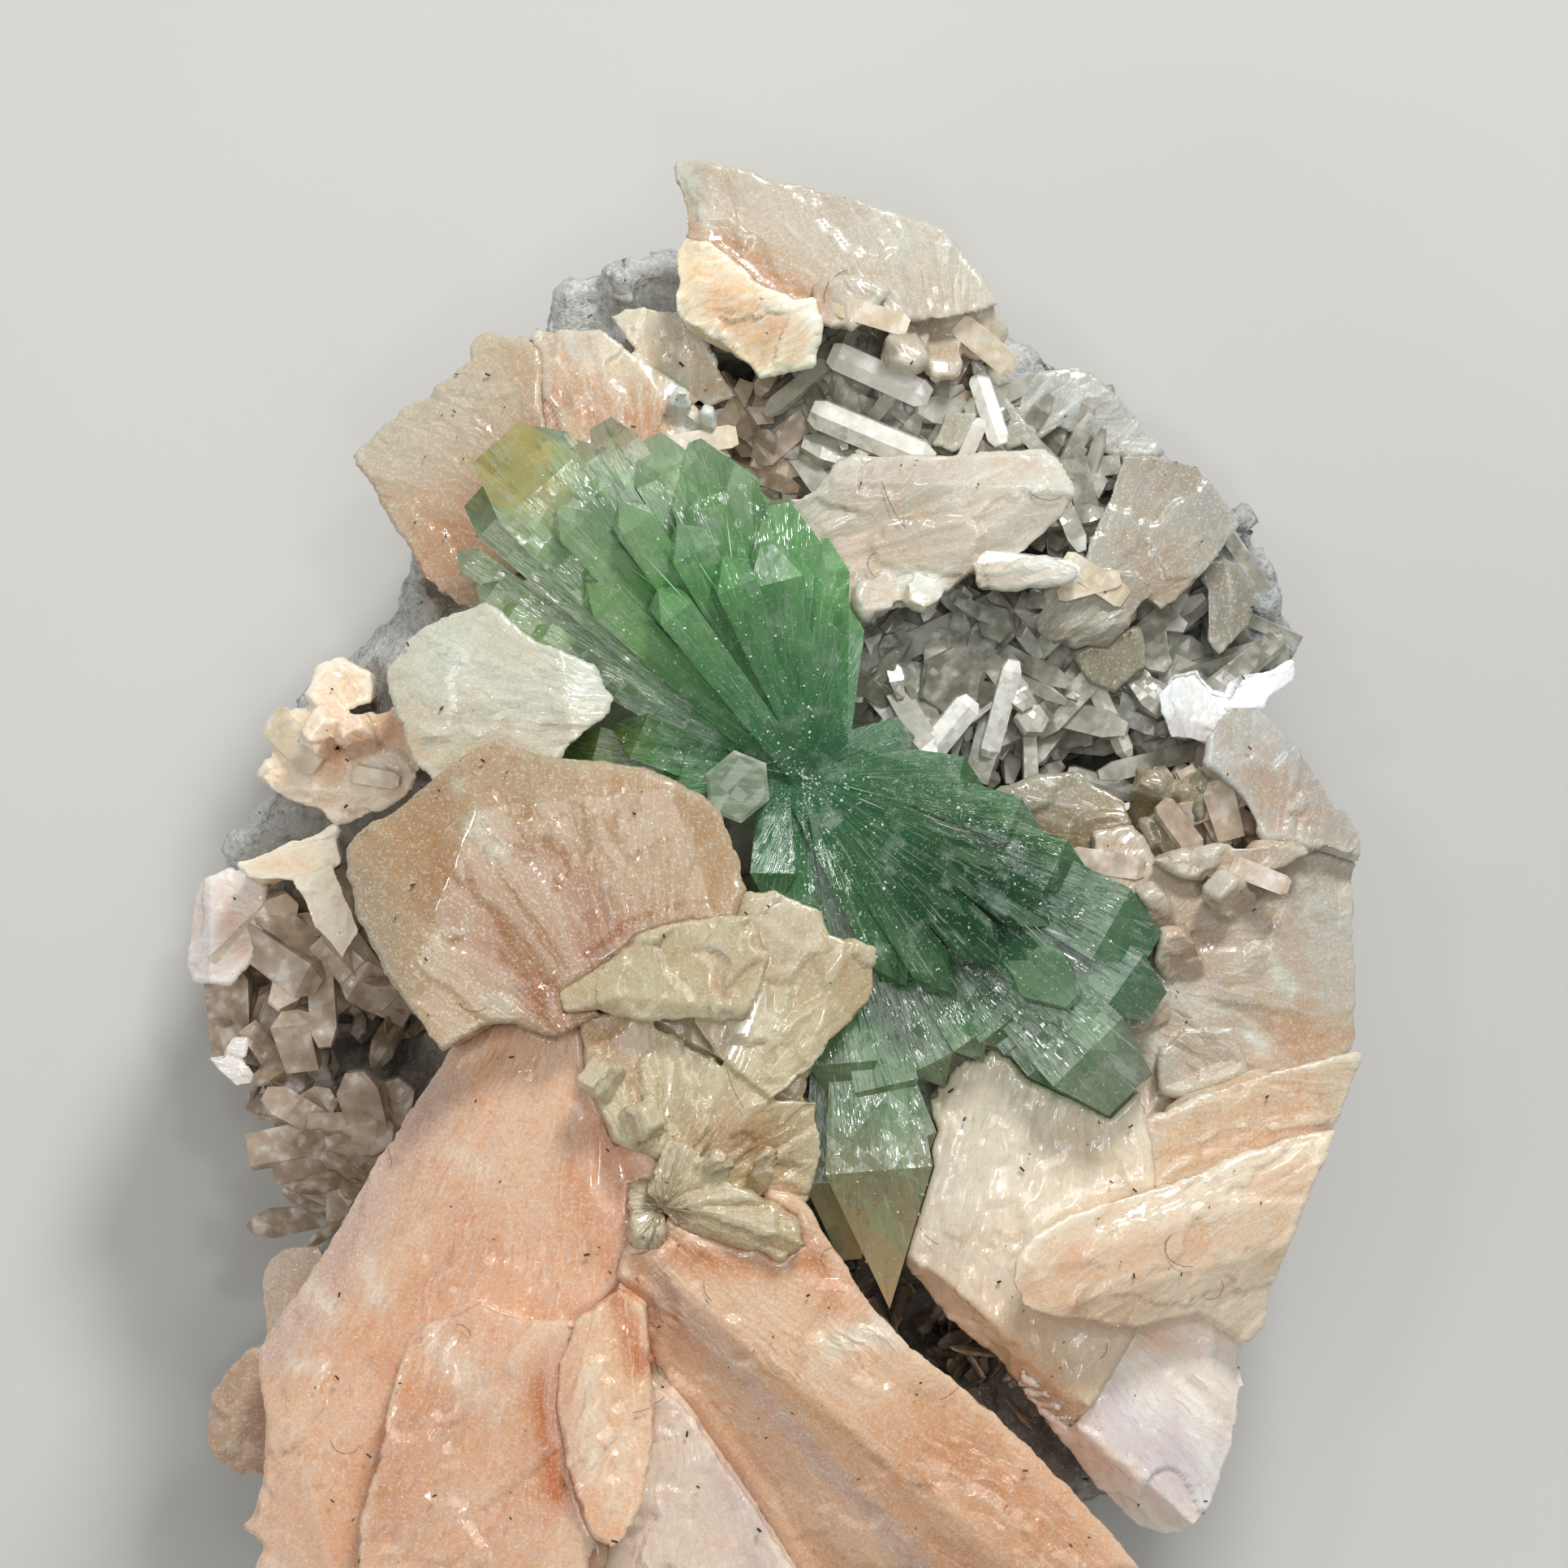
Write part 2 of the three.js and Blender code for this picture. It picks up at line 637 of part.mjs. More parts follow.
        outline: [
          [69.6, 50.5], [71.0, 53.6], [75.0, 52.6], [80.0, 52.0], [84.1, 53.0], [84.1, 54.5],
          [84.0, 56.5], [84.3, 58.3], [84.4, 64.6], [80.5, 66.2], [76.0, 68.0], [72.5, 70.5],
          [70.5, 70.5], [69.0, 66.0], [68.0, 60.0], [67.5, 54.0], [67.2, 51.0],
        ],
        top: 30.6,
        slope: [-0.17, 0.03],
        depth: 13,
        root: [75, 60],
        facets: [
          { at: [79, 60], away: 5, fall: 0.3 },
          { at: [74, 56], away: 80, fall: 0.25 },
        ],
      },
      {
        outline: [
          [72.8, 63.5], [76.0, 63.3], [77.0, 65.8], [74.6, 67.0], [71.5, 67.4], [71.4, 65.2],
        ],
        top: 32.6,
        slope: [-0.09, 0.17],
        depth: 5,
      },
      {
        outline: [
          [71.0, 53.0], [75.0, 52.2], [80.0, 52.0], [81.0, 52.6], [77.0, 54.3], [73.0, 54.0],
        ],
        top: 32.4,
        slope: [-0.05, 0.17],
        depth: 5,
      },
    ],
    rods: [
      { from: [74, 62, 28], to: [72.4, 57.4, 33.4], width: 2.4, thick: 2, blunt: 0.6 },
      { from: [73, 60, 28], to: [70.6, 54.8, 33], width: 2.0, thick: 1.6, blunt: 0.6 },
      { from: [78, 57, 27], to: [75.2, 54.6, 33.4], width: 2.4, thick: 1.8, blunt: 0.6 },
    ],
  },
  stilbite_right_horn: {
    colour: COLOURS.pink,
    blades: [
      {
        outline: [
          [74.5, 46.0], [75.0, 44.5], [75.8, 43.5], [77.5, 43.3], [79.3, 45.0], [81.0, 46.8],
          [82.3, 49.2], [83.4, 50.0], [84.3, 51.8], [84.3, 53.0], [81.0, 52.0], [78.0, 51.5],
          [76.5, 48.8], [74.4, 47.0],
        ],
        top: 31.0,
        slope: [-0.17, 0.03],
        depth: 12,
        root: [79, 50],
        facets: [{ at: [80.5, 48.5], away: 25, fall: 0.5 }],
      },
    ],
    rods: [],
  },
  stilbite_right_cream_blade: {
    colour: COLOURS.cream,
    blades: [
      {
        outline: [
          [60.8, 49.0], [64.0, 47.8], [66.4, 47.4], [69.5, 49.3], [70.4, 52.3], [70.6, 56.4],
          [68.0, 56.0], [65.3, 53.4], [62.5, 52.0],
        ],
        top: 30.4,
        slope: [0.03, 0.1],
        depth: 10,
        root: [67, 53],
        facets: [{ at: [66, 49.6], away: 80, fall: 0.4 }],
      },
    ],
    rods: [
      { from: [70, 52, 24], to: [71.4, 47.8, 30.4], width: 2.6, thick: 2, blunt: 0.4 },
      { from: [70.5, 52, 24], to: [74.2, 48.6, 30], width: 2.6, thick: 2, blunt: 0.4 },
      { from: [69, 53, 25], to: [72.6, 51.0, 31], width: 3, thick: 2, blunt: 0.4 },
    ],
  },
  stilbite_peach_wedge: {
    colour: COLOURS.peach,
    blades: [
      {
        outline: [
          [41.9, 14.2], [41.3, 15.3], [41.6, 17.0], [41.4, 18.8], [41.8, 19.5], [43.5, 20.5],
          [46.9, 23.3], [50.2, 22.5], [50.5, 20.0], [50.2, 18.2], [49.0, 18.4], [46.5, 17.2],
          [45.0, 15.6], [43.5, 14.6],
        ],
        top: 31.4,
        slope: [0.14, -0.09],
        depth: 11,
        root: [47, 20],
        facets: [
          { at: [45.5, 18.2], away: -105, fall: 0.4 },
          { at: [43, 17.5], away: 160, fall: 0.4 },
        ],
      },
    ],
    rods: [],
  },
  stilbite_crown_blade: {
    colour: COLOURS.pink,
    blades: [
      {
        outline: [
          [41.0, 9.2], [42.5, 9.3], [45.0, 9.9], [50.0, 11.1], [52.5, 11.8], [55.0, 12.6],
          [57.5, 13.2], [58.4, 13.5], [60.0, 15.0], [61.8, 17.4], [62.4, 18.4], [61.0, 18.9],
          [58.5, 19.5], [55.0, 19.4], [52.0, 18.8], [49.0, 18.6], [45.0, 16.0], [41.9, 14.0],
          [41.8, 12.5], [41.0, 10.4],
        ],
        top: 29.0,
        slope: [0.03, -0.17],
        depth: 10,
        root: [52, 19],
        facets: [
          { at: [54.6, 15.5], away: 12, fall: 0.3 },
          { at: [43.4, 12.5], away: 175, fall: 0.5 },
        ],
      },
      {
        outline: [
          [57.5, 18.8], [61.3, 18.5], [62.4, 20.2], [62.0, 21.3], [60.3, 21.6], [58.6, 21.0],
        ],
        top: 27.2,
        slope: [-0.09, 0.34],
        depth: 7,
      },
      {
        outline: [[50.1, 17.3], [52.8, 16.8], [54.8, 17.8], [52.5, 20.2], [50.6, 19.8]],
        top: 31.0,
        slope: [0.09, -0.17],
        depth: 4,
      },
    ],
    rods: [
      { from: [57, 17.5, 25], to: [55.6, 22.4, 29.6], width: 2.6, thick: 1.6, blunt: 0.6 },
      { from: [58.6, 18, 25], to: [58.2, 23.2, 28.4], width: 2.2, thick: 1.4, blunt: 0.6 },
    ],
  },
  stilbite_upper_middle: {
    colour: COLOURS.peach,
    blades: [
      {
        outline: [
          [32.6, 20.3], [32.6, 19.5], [35.0, 19.9], [36.8, 19.9], [38.5, 21.0], [41.5, 23.0],
          [44.0, 26.0], [45.5, 28.6], [43.5, 31.0], [38.0, 30.0], [34.0, 29.0], [33.4, 25.0],
          [33.3, 21.4],
        ],
        top: 27.0,
        slope: [0.05, -0.09],
        depth: 9,
        root: [39, 26],
        facets: [
          { at: [35, 22], away: 130, fall: 0.3 },
          { at: [41, 24.5], away: 40, fall: 0.35 },
        ],
      },
      {
        outline: [
          [37.3, 19.0], [39.5, 18.4], [41.5, 19.0], [44.0, 22.0], [45.4, 24.2], [43.5, 24.8],
          [39.5, 22.0],
        ],
        top: 25.6,
        slope: [0.17, -0.09],
        depth: 8,
      },
    ],
    rods: [
      { from: [41, 28, 24], to: [42.0, 23.8, 28.6], width: 1.6, thick: 1.4, blunt: 0.5 },
      { from: [42.6, 28.4, 24], to: [43.6, 25.0, 28.4], width: 1.4, thick: 1.2, blunt: 0.5 },
    ],
  },
  stilbite_left_wing: {
    colour: COLOURS.pink,
    blades: [
      {
        outline: [
          [21.1, 27.7], [22.5, 26.2], [24.5, 24.6], [26.0, 23.9], [27.3, 22.8], [28.8, 21.5],
          [28.9, 20.3], [29.8, 19.7], [31.8, 20.3], [33.0, 21.4], [33.2, 25.0], [33.8, 29.6],
          [32.6, 34.0], [30.0, 38.0], [28.0, 37.3], [26.0, 35.8], [25.4, 35.0], [24.8, 33.5],
          [22.8, 30.5],
        ],
        top: 25.4,
        slope: [0.2, -0.03],
        depth: 9,
        root: [30, 29],
        facets: [
          { at: [26.4, 27.4], away: 128, fall: 0.3 },
          { at: [24.4, 31], away: 200, fall: 0.3 },
        ],
      },
    ],
    rods: [],
  },
  stilbite_centre_right_blade: {
    colour: COLOURS.pink,
    blades: [
      {
        outline: [
          [47.0, 31.0], [50.0, 30.4], [51.4, 28.6], [52.5, 28.0], [55.0, 27.8], [60.0, 27.8],
          [64.5, 27.6], [65.5, 28.5], [66.5, 30.3], [65.8, 31.5], [62.5, 34.5], [60.0, 35.2],
          [57.5, 37.0], [53.8, 37.8], [51.0, 38.4], [49.0, 35.0],
        ],
        top: 31.0,
        slope: [0.07, 0.07],
        depth: 11,
        root: [56, 34],
        facets: [
          { at: [61.5, 32.5], away: -50, fall: 0.35 },
          { at: [56, 29.6], away: 88, fall: 0.3 },
          { at: [63.8, 29.6], away: 35, fall: 0.3 },
        ],
      },
      {
        outline: [[60.0, 34.8], [64.5, 34.2], [66.5, 35.2], [65.8, 35.9], [60.3, 36.2]],
        top: 31.4,
        slope: [0.03, 0.17],
        depth: 2.6,
      },
    ],
    rods: [
      { from: [57, 34, 27], to: [53.4, 37.4, 32], width: 2.2, thick: 1.6, blunt: 0.5 },
      { from: [58.5, 33.4, 27], to: [56.4, 37.4, 32], width: 2.4, thick: 1.6, blunt: 0.5 },
    ],
  },
  stilbite_shoulder_blade: {
    colour: COLOURS.cream,
    blades: [
      {
        outline: [
          [63.0, 23.0], [64.5, 22.3], [66.5, 22.0], [68.1, 22.8], [70.0, 24.9], [72.0, 27.3],
          [70.0, 27.8], [67.8, 27.5], [66.5, 26.5], [63.0, 25.0],
        ],
        top: 24.6,
        slope: [-0.1, 0.09],
        depth: 8,
        root: [67, 26],
        facets: [{ at: [66, 23.4], away: 75, fall: 0.3 }],
      },
      {
        outline: [[60.0, 22.0], [62.0, 23.8], [64.2, 26.8], [62.3, 27.4], [60.0, 25.3]],
        top: 25.6,
        slope: [0.09, 0.09],
        depth: 8,
      },
      {
        outline: [[62.0, 23.4], [64.0, 23.6], [65.4, 26.0], [64.2, 27.0], [62.4, 25.6]],
        top: 24.8,
        depth: 7,
      },
      {
        outline: [[58.3, 25.0], [60.3, 25.2], [60.0, 27.2], [58.7, 27.4], [57.6, 27.2]],
        top: 27.4,
        slope: [0.17, 0.09],
        depth: 8,
      },
    ],
    rods: [],
  },
  stilbite_right_tablet: {
    colour: COLOURS.pink,
    blades: [
      {
        outline: [
          [66.5, 35.0], [70.7, 35.3], [71.4, 36.4], [70.8, 37.0], [68.4, 39.8], [64.5, 39.4],
          [63.8, 38.8], [64.6, 36.6],
        ],
        top: 28.4,
        slope: [0.03, 0.2],
        depth: 9,
        root: [68, 36],
        facets: [{ at: [66.6, 38.6], away: -85, fall: 0.6 }],
      },
      {
        outline: [
          [69.5, 27.7], [74.3, 28.2], [75.6, 30.0], [77.0, 32.0], [75.0, 34.5], [72.8, 36.9],
          [71.8, 37.6], [70.8, 36.8], [70.0, 36.0], [66.8, 35.2], [67.3, 33.0], [68.5, 30.5],
        ],
        top: 26.8,
        slope: [-0.2, -0.1],
        depth: 9,
        root: [70, 33],
        facets: [{ at: [73.6, 31.6], away: 20, fall: 0.3 }],
      },
    ],
    rods: [],
  },
  stilbite_hex_crystal: {
    colour: COLOURS.cream,
    blades: [
      {
        outline: [
          [68.5, 38.8], [70.5, 38.8], [70.8, 40.8], [68.9, 42.4], [67.5, 42.0], [66.5, 40.5],
        ],
        top: 26.6,
        slope: [0.09, 0.17],
        depth: 9,
        taper: 0.8,
        facets: [{ at: [69.6, 40.4], away: 0, fall: 0.5 }],
      },
    ],
    rods: [],
  },
  stilbite_edge_crystal: {
    colour: COLOURS.pink,
    blades: [
      {
        outline: [
          [74.8, 34.3], [76.5, 34.5], [77.8, 36.0], [77.3, 38.5], [75.5, 40.3], [74.8, 39.5],
        ],
        top: 23.6,
        slope: [-0.17, 0],
        depth: 8,
        taper: 0.85,
        facets: [{ at: [76.4, 37], away: 0, fall: 0.5 }],
      },
    ],
    rods: [],
  },
  pearly_crystal: {
    colour: COLOURS.pearl,
    blades: [
      {
        outline: [
          [71.5, 42.8], [72.5, 41.5], [74.0, 41.0], [75.0, 42.5], [76.0, 42.8], [76.8, 41.5],
          [78.5, 41.3], [80.0, 40.6], [80.0, 41.8], [78.0, 43.2], [75.5, 43.4], [74.8, 45.8],
          [72.3, 45.6],
        ],
        top: 27.6,
        slope: [-0.17, 0.09],
        depth: 10,
        root: [74, 43.4],
        facets: [{ at: [73.4, 44.2], away: -110, fall: 0.3 }],
      },
    ],
    rods: [],
  },
  stilbite_left_group: {
    colour: COLOURS.peach,
    blades: [
      {
        outline: [
          [15.2, 47.8], [16.1, 46.5], [16.3, 45.5], [16.2, 44.8], [17.0, 43.7], [18.8, 43.3],
          [21.5, 44.0], [24.5, 43.5], [25.6, 47.6], [25.0, 49.0], [22.0, 50.8], [17.5, 49.6],
          [16.2, 48.8],
        ],
        top: 27.6,
        slope: [0.24, 0],
        depth: 10,
        root: [22, 47],
        facets: [
          { at: [19.6, 46], away: 150, fall: 0.35 },
          { at: [20, 48.6], away: -100, fall: 0.5 },
        ],
      },
      {
        outline: [
          [19.3, 41.0], [20.6, 40.5], [22.6, 41.4], [22.6, 43.2], [20.0, 44.0], [18.6, 42.8],
        ],
        top: 27.0,
        slope: [0.09, -0.17],
        depth: 7,
      },
    ],
    rods: [
      { from: [22, 47, 25], to: [19, 44.6, 29.6], width: 3, thick: 2, blunt: 0.5 },
      { from: [22.5, 47.5, 25], to: [21.4, 44.6, 30.4], width: 2.6, thick: 2, blunt: 0.5 },
    ],
  },
  stilbite_left_leaves: {
    colour: COLOURS.cream,
    blades: [
      {
        outline: [
          [14.2, 53.3], [17.5, 51.8], [20.4, 51.3], [20.8, 53.4], [17.6, 54.4], [15.0, 54.4],
        ],
        top: 26.0,
        slope: [0.24, 0.09],
        depth: 9,
        root: [19, 53],
      },
      {
        outline: [[17.6, 54.2], [20.2, 53.2], [22.0, 57.5], [20.8, 59.3], [19.0, 57.4]],
        top: 26.4,
        slope: [0.17, 0.17],
        depth: 9,
      },
    ],
    rods: [],
  },
  stilbite_far_left_blade: {
    colour: COLOURS.pink,
    blades: [
      {
        outline: [
          [11.7, 54.4], [13.6, 53.8], [15.6, 54.8], [16.0, 56.8], [15.0, 59.0], [13.5, 60.8],
          [11.2, 60.7], [10.9, 60.2], [10.9, 58.0], [11.1, 56.0],
        ],
        top: 20.6,
        slope: [0.2, 0.09],
        depth: 8,
        root: [14.4, 57],
        facets: [{ at: [12.4, 57], away: 180, fall: 0.5 }],
      },
    ],
    rods: [],
  },
  white_rim_crystal: {
    colour: COLOURS.pearl,
    blades: [
      {
        outline: [
          [12.0, 65.6], [13.0, 65.5], [13.8, 64.3], [14.6, 64.3], [14.4, 65.6], [15.4, 67.0],
          [13.8, 67.4],
        ],
        top: 19,
        slope: [0.09, 0],
        depth: 5.5,
      },
    ],
    rods: [],
  },
  stilbite_left_knob: {
    colour: COLOURS.cream,
    blades: [
      {
        outline: [
          [15.8, 79.2], [16.3, 77.8], [17.1, 77.2], [19.3, 76.9], [21.0, 79.0], [18.6, 82.4],
          [16.2, 82.8], [16.0, 81.6],
        ],
        top: 29.0,
        slope: [0.17, 0],
        depth: 11,
        root: [19, 80],
        facets: [{ at: [17.4, 79.6], away: 170, fall: 0.5 }],
      },
    ],
    rods: [],
  },
  stilbite_lower_left_knob: {
    colour: COLOURS.pink,
    blades: [
      {
        outline: [
          [15.2, 83.3], [13.0, 85.9], [12.6, 87.2], [12.6, 89.3], [13.3, 90.3], [14.6, 91.2],
          [15.0, 90.8], [16.4, 91.2], [19.0, 89.0], [18.6, 85.0], [17.0, 83.2],
        ],
        top: 32.4,
        slope: [0.17, 0],
        depth: 12,
        root: [17, 87],
        facets: [
          { at: [14.6, 87], away: 165, fall: 0.6 },
          { at: [15.4, 89.6], away: -110, fall: 0.5 },
        ],
      },
    ],
    rods: [],
  },
};

// These pass in front of the bow-tie
const FRONT = ["stilbite_front_cluster", "stilbite_front_paddle", "stilbite_cream_leaf"];

function stilbite({ blades, rods }, grow = 0) {
  return joined([
    ...blades.map((form) => blade(form, grow)),
    ...rods.map((form) => prism(form, grow)),
  ]);
}

// The rock: a rough slab with low hills that carry the crystals and pockets lined with small ones
const ROCK_OUTLINE = [
  [32.8, 18.8], [34.0, 17.5], [35.0, 16.9], [36.0, 15.8], [38.9, 15.7], [40.0, 14.6],
  [41.6, 14.8], [44.0, 16.6], [50.0, 17.6], [57.0, 16.2], [60.0, 16.6], [62.6, 19.2],
  [63.3, 20.3], [64.3, 21.0], [65.9, 21.4], [67.3, 21.9], [68.1, 22.8], [70.0, 24.8],
  [72.5, 27.6], [74.3, 28.3], [75.8, 30.0], [77.5, 32.3], [79.0, 34.1], [80.0, 35.8],
  [80.3, 37.3], [80.4, 39.8], [79.9, 41.4], [78.2, 43.8], [79.0, 46.5], [81.6, 50.5],
  [82.6, 58.0], [82.2, 65.0], [79.6, 72.0], [77.6, 79.0], [75.2, 87.0], [71.0, 92.4],
  [66.5, 93.4], [63.0, 98.0], [54.0, 102.0], [40.0, 103.2], [26.0, 102.6], [18.0, 99.0],
  [17.2, 92.0], [17.6, 85.0], [18.4, 78.6], [20.0, 75.8], [19.9, 73.8], [19.1, 73.1],
  [18.6, 72.2], [17.7, 71.4], [17.0, 70.4], [16.7, 69.6], [15.6, 68.6], [14.7, 67.6],
  [13.6, 66.6], [12.4, 64.6], [12.4, 62.9], [11.8, 62.1], [11.6, 60.4], [11.8, 56.0],
  [12.4, 54.6], [13.2, 53.0], [14.3, 51.3], [15.0, 50.0], [15.7, 48.8], [16.4, 45.5],
  [17.4, 43.7], [18.0, 42.1], [19.3, 40.9], [20.5, 40.5], [22.0, 39.3], [23.2, 38.0],
  [23.5, 36.8], [24.3, 35.6], [25.4, 35.2], [25.2, 32.0], [27.0, 28.0], [29.6, 23.6],
  [32.4, 20.6],
];
// Hills: middle on the sheet, height over the rim, and half widths across and along
const HILLS = [
  [50, 49, 15, 13, 10],
  [29, 45, 15, 11, 10],
  [38, 60, 19, 15, 13],
  [28, 83, 18, 14, 18],
  [52, 89, 18, 16, 15],
  [67, 78, 13, 13, 14],
  [75, 60, 9, 11, 14],
  [70, 34, 6, 12, 12],
  [52, 21, 9, 14, 8],
  [38, 24, 8, 10, 8],
  [57, 34, 10, 11, 8],
  [30, 30, 6, 8, 9],
  [20, 47, 7, 7, 8],
];
// Pockets: middle on the sheet, depth, and half widths across and along
const POCKETS = [
  [65, 46.8, 11, 6, 3],
  [71, 46.2, 9, 4, 2.6],
  [23, 66, 7, 6, 6],
  [45.6, 24.6, 7, 3, 2.4],
  [59, 82, 12, 3, 3],
];

function rockHeight(x, y) {
  const swell = (list) =>
    list.reduce((most, [mx, my, height, wide, tall]) => {
      const middle = onSheet([mx, my]);
      const far = ((x - middle.x) / wide) ** 2 + ((y - middle.y) / tall) ** 2;
      return Math.max(most, height * Math.exp(-far));
    }, 0);
  const lumps = ROCK_LUMPS.reduce(
    (sum, [height, across, along, shift]) => sum + height * Math.sin(across * x + along * y + shift),
    0,
  );
  return ROCK_BASE + swell(HILLS) - swell(POCKETS) + lumps;
}

// A number from 0 to 1 that looks random but is always the same at the same place
function scatter(x, y) {
  const wild = Math.sin(x * 12.9898 + y * 78.233) * 43758.5453;
  return wild - Math.floor(wild);
}

function rockBody(grow = 0) {
  const across = Math.round(SPECIMEN_WIDTH / ROCK_CELL);
  const along = Math.round(SPECIMEN_LENGTH / ROCK_CELL);
  const block = new THREE.BoxGeometry(
    SPECIMEN_WIDTH + 2 * ROCK_CELL,
    SPECIMEN_LENGTH + 2 * ROCK_CELL,
    ROCK_BASE,
    across,
    along,
    1,
  );
  block.translate(0, 0, ROCK_BASE / 2);
  movePoints(block, (p) => {
    const part = scatter(p.x, p.y);
    if (p.z > 0) {
      p.x += ROCK_SHIFT * ROCK_CELL * Math.cos(part * 2 * Math.PI);
      p.y += ROCK_SHIFT * ROCK_CELL * Math.sin(part * 2 * Math.PI);
      p.z = rockHeight(p.x, p.y) + ROCK_ROUGHNESS * (part - 0.5) + grow;
    }
  });
  const outline = ROCK_OUTLINE.map(onSheet);
  if (THREE.ShapeUtils.isClockWise(outline)) {
    outline.reverse();
  }
  const rim = new THREE.ExtrudeGeometry(new THREE.Shape(widened(outline, grow)), {
    depth: 1,
    steps: ROCK_RINGS.length - 1,
    bevelEnabled: false,
  });
  movePoints(rim, (p) => {
    const ring = ROCK_RINGS[Math.round(p.z * (ROCK_RINGS.length - 1))];
    const knock = 1 + ring.rough * Math.sin(p.x * 0.9 + ring.height) * Math.cos(p.y * 0.8);
    p.x *= ring.size * knock;
    p.y *= ring.size * knock;
    p.z = ring.height;
  });
  return solidFrom(block).intersect(solidFrom(rim));
}

// Grey knobbly chalcedony along the open rims of the rock
function chalcedonyKnobs() {
  const pick = variation(11);
  const stretches = [
    { from: [34.5, 18.4], to: [41.0, 16.4], count: 3, size: 2.2 },
    { from: [63.2, 21.4], to: [74.0, 29.6], count: 4, size: 1.9 },
    { from: [76.4, 31.6], to: [79.4, 41.0], count: 4, size: 2.2 },
    { from: [23.6, 37.0], to: [18.6, 42.6], count: 3, size: 1.9 },
    { from: [14.8, 51.6], to: [12.8, 54.8], count: 2, size: 1.5 },
    { from: [26.0, 36.0], to: [25.0, 39.0], count: 2, size: 1.5 },
  ];
  const knobs = [];
  for (const { from, to, count, size } of stretches) {
    for (let i = 0; i < count; i++) {
      const share = (i + 0.5) / count;
      const x = from[0] + (to[0] - from[0]) * share + pick(-KNOB_STRAY, KNOB_STRAY);
      const y = from[1] + (to[1] - from[1]) * share + pick(-KNOB_STRAY, KNOB_STRAY);
      const place = onSheet([x, y]);
      const radius = size * pick(...KNOB_SIZES);
      const knob = new THREE.IcosahedronGeometry(radius, 0).rotateX(pick(0, 3)).rotateZ(pick(0, 3));
      knob.translate(place.x, place.y, rockHeight(place.x, place.y) + KNOB_RISE * radius);
      knobs.push(solidFrom(knob));
    }
  }
  return knobs;
}

// Small zeolite crystals grown on the rock: a field is a patch of them with one main direction
const CRYSTAL_FIELDS = [
  { from: [53, 39.5], to: [68, 45], count: 13, length: [2.6, 5], width: [1.1, 1.9], turn: -80, seed: 3 },
  { from: [60, 44.5], to: [73, 48.5], count: 8, length: [2.4, 4.6], width: [1.1, 1.7], turn: -95, seed: 5 },
  { from: [48, 24], to: [58, 27.5], count: 5, length: [2.4, 5], width: [1.1, 1.8], turn: -20, seed: 7 },
  { from: [72, 30], to: [78, 41], count: 4, length: [1.8, 3.4], width: [0.9, 1.5], turn: -60, seed: 9 },
  { from: [16, 58], to: [27, 66], count: 6, length: [3.4, 6], width: [1.5, 2.4], turn: -120, seed: 13 },
  { from: [17, 65], to: [25, 71.5], count: 5, length: [3, 6], width: [1.5, 2.6], turn: -70, seed: 17 },
];
const NAMED_CRYSTALS = [
  { from: [50.6, 21.6, 22], to: [57.4, 24.2, 29.6], width: 1.9, thick: 1.5, blunt: 0.6 },
  { from: [50.2, 24.6, 22], to: [57.6, 28.2, 28.6], width: 2.4, thick: 1.5, blunt: 0.5 },
  { from: [46.5, 29.5, 20], to: [47.6, 25.6, 28.4], width: 4.6, thick: 4, blunt: 0.7 },
  { from: [58.6, 42.4, 20], to: [59.4, 40.2, 27.6], width: 4.0, thick: 3.4, blunt: 0.8 },
  { from: [69.0, 42.8, 19], to: [70.6, 47.0, 25], width: 1.6, thick: 1.2, blunt: 0.4 },
  { from: [17.4, 57.6, 16], to: [13.8, 64.4, 19.6], width: 2.4, thick: 2, blunt: 0.6 },
  { from: [21.0, 71.5, 15], to: [18.0, 63.8, 21.6], width: 2.8, thick: 2.2, blunt: 0.5 },
  { from: [22.0, 60.5, 16], to: [24.6, 57.8, 24], width: 3.4, thick: 2.6, blunt: 0.5 },
];

function smallCrystals() {
  const crystals = NAMED_CRYSTALS.map((form) => prism({ sides: 6, ...form }));
  for (const { from, to, count, length, width, turn, seed } of CRYSTAL_FIELDS) {
    const pick = variation(seed);
    for (let i = 0; i < count; i++) {
      const x = pick(from[0], to[0]);
      const y = pick(from[1], to[1]);
      const reach = pick(...length);
      const heading = THREE.MathUtils.degToRad(turn + pick(-CRYSTAL_SPREAD, CRYSTAL_SPREAD));
      const rise = pick(...CRYSTAL_RISE);
      const across = pick(...width);
      const foot = onSheet([x, y]);
      const ground = rockHeight(foot.x, foot.y);
      const flat = reach * Math.sqrt(1 - rise * rise);
      crystals.push(
        prism({
          from: [x, y, ground - CRYSTAL_ROOT_DEPTH],
          to: [x + flat * Math.cos(heading), y - flat * Math.sin(heading), ground + reach * rise],
          width: across,
          thick: across * pick(...CRYSTAL_FLATNESS),
          roll: pick(-CRYSTAL_ROLL, CRYSTAL_ROLL),
        }),
      );
    }
  }
  return crystals;
}

// The whole specimen
const specimen = new THREE.Group();
const taken = [];

function show(name, colour, roughness, solid) {
  const material = new THREE.MeshStandardMaterial({ color: colour, roughness, metalness: 0 });
  const mesh = new THREE.Mesh(geometryFrom(solid.simplify(LEAST_DETAIL)), material);
  mesh.name = name;
  specimen.add(mesh);
}

// Cuts a crystal back from those in front of it and from the rock, then keeps its own room
function place(name, colour, roughness, make) {
  const clear = taken.reduce((rest, other) => rest.subtract(other), make(0));
  show(name, colour, roughness, largest(clear.subtract(rockRoom)));
  taken.push(make(GAP));
}

const placeStilbite = (name) => {
  const form = STILBITE[name];
  place(name, form.colour, ROUGHNESS.stilbite, (grow) => stilbite(form, grow));
};

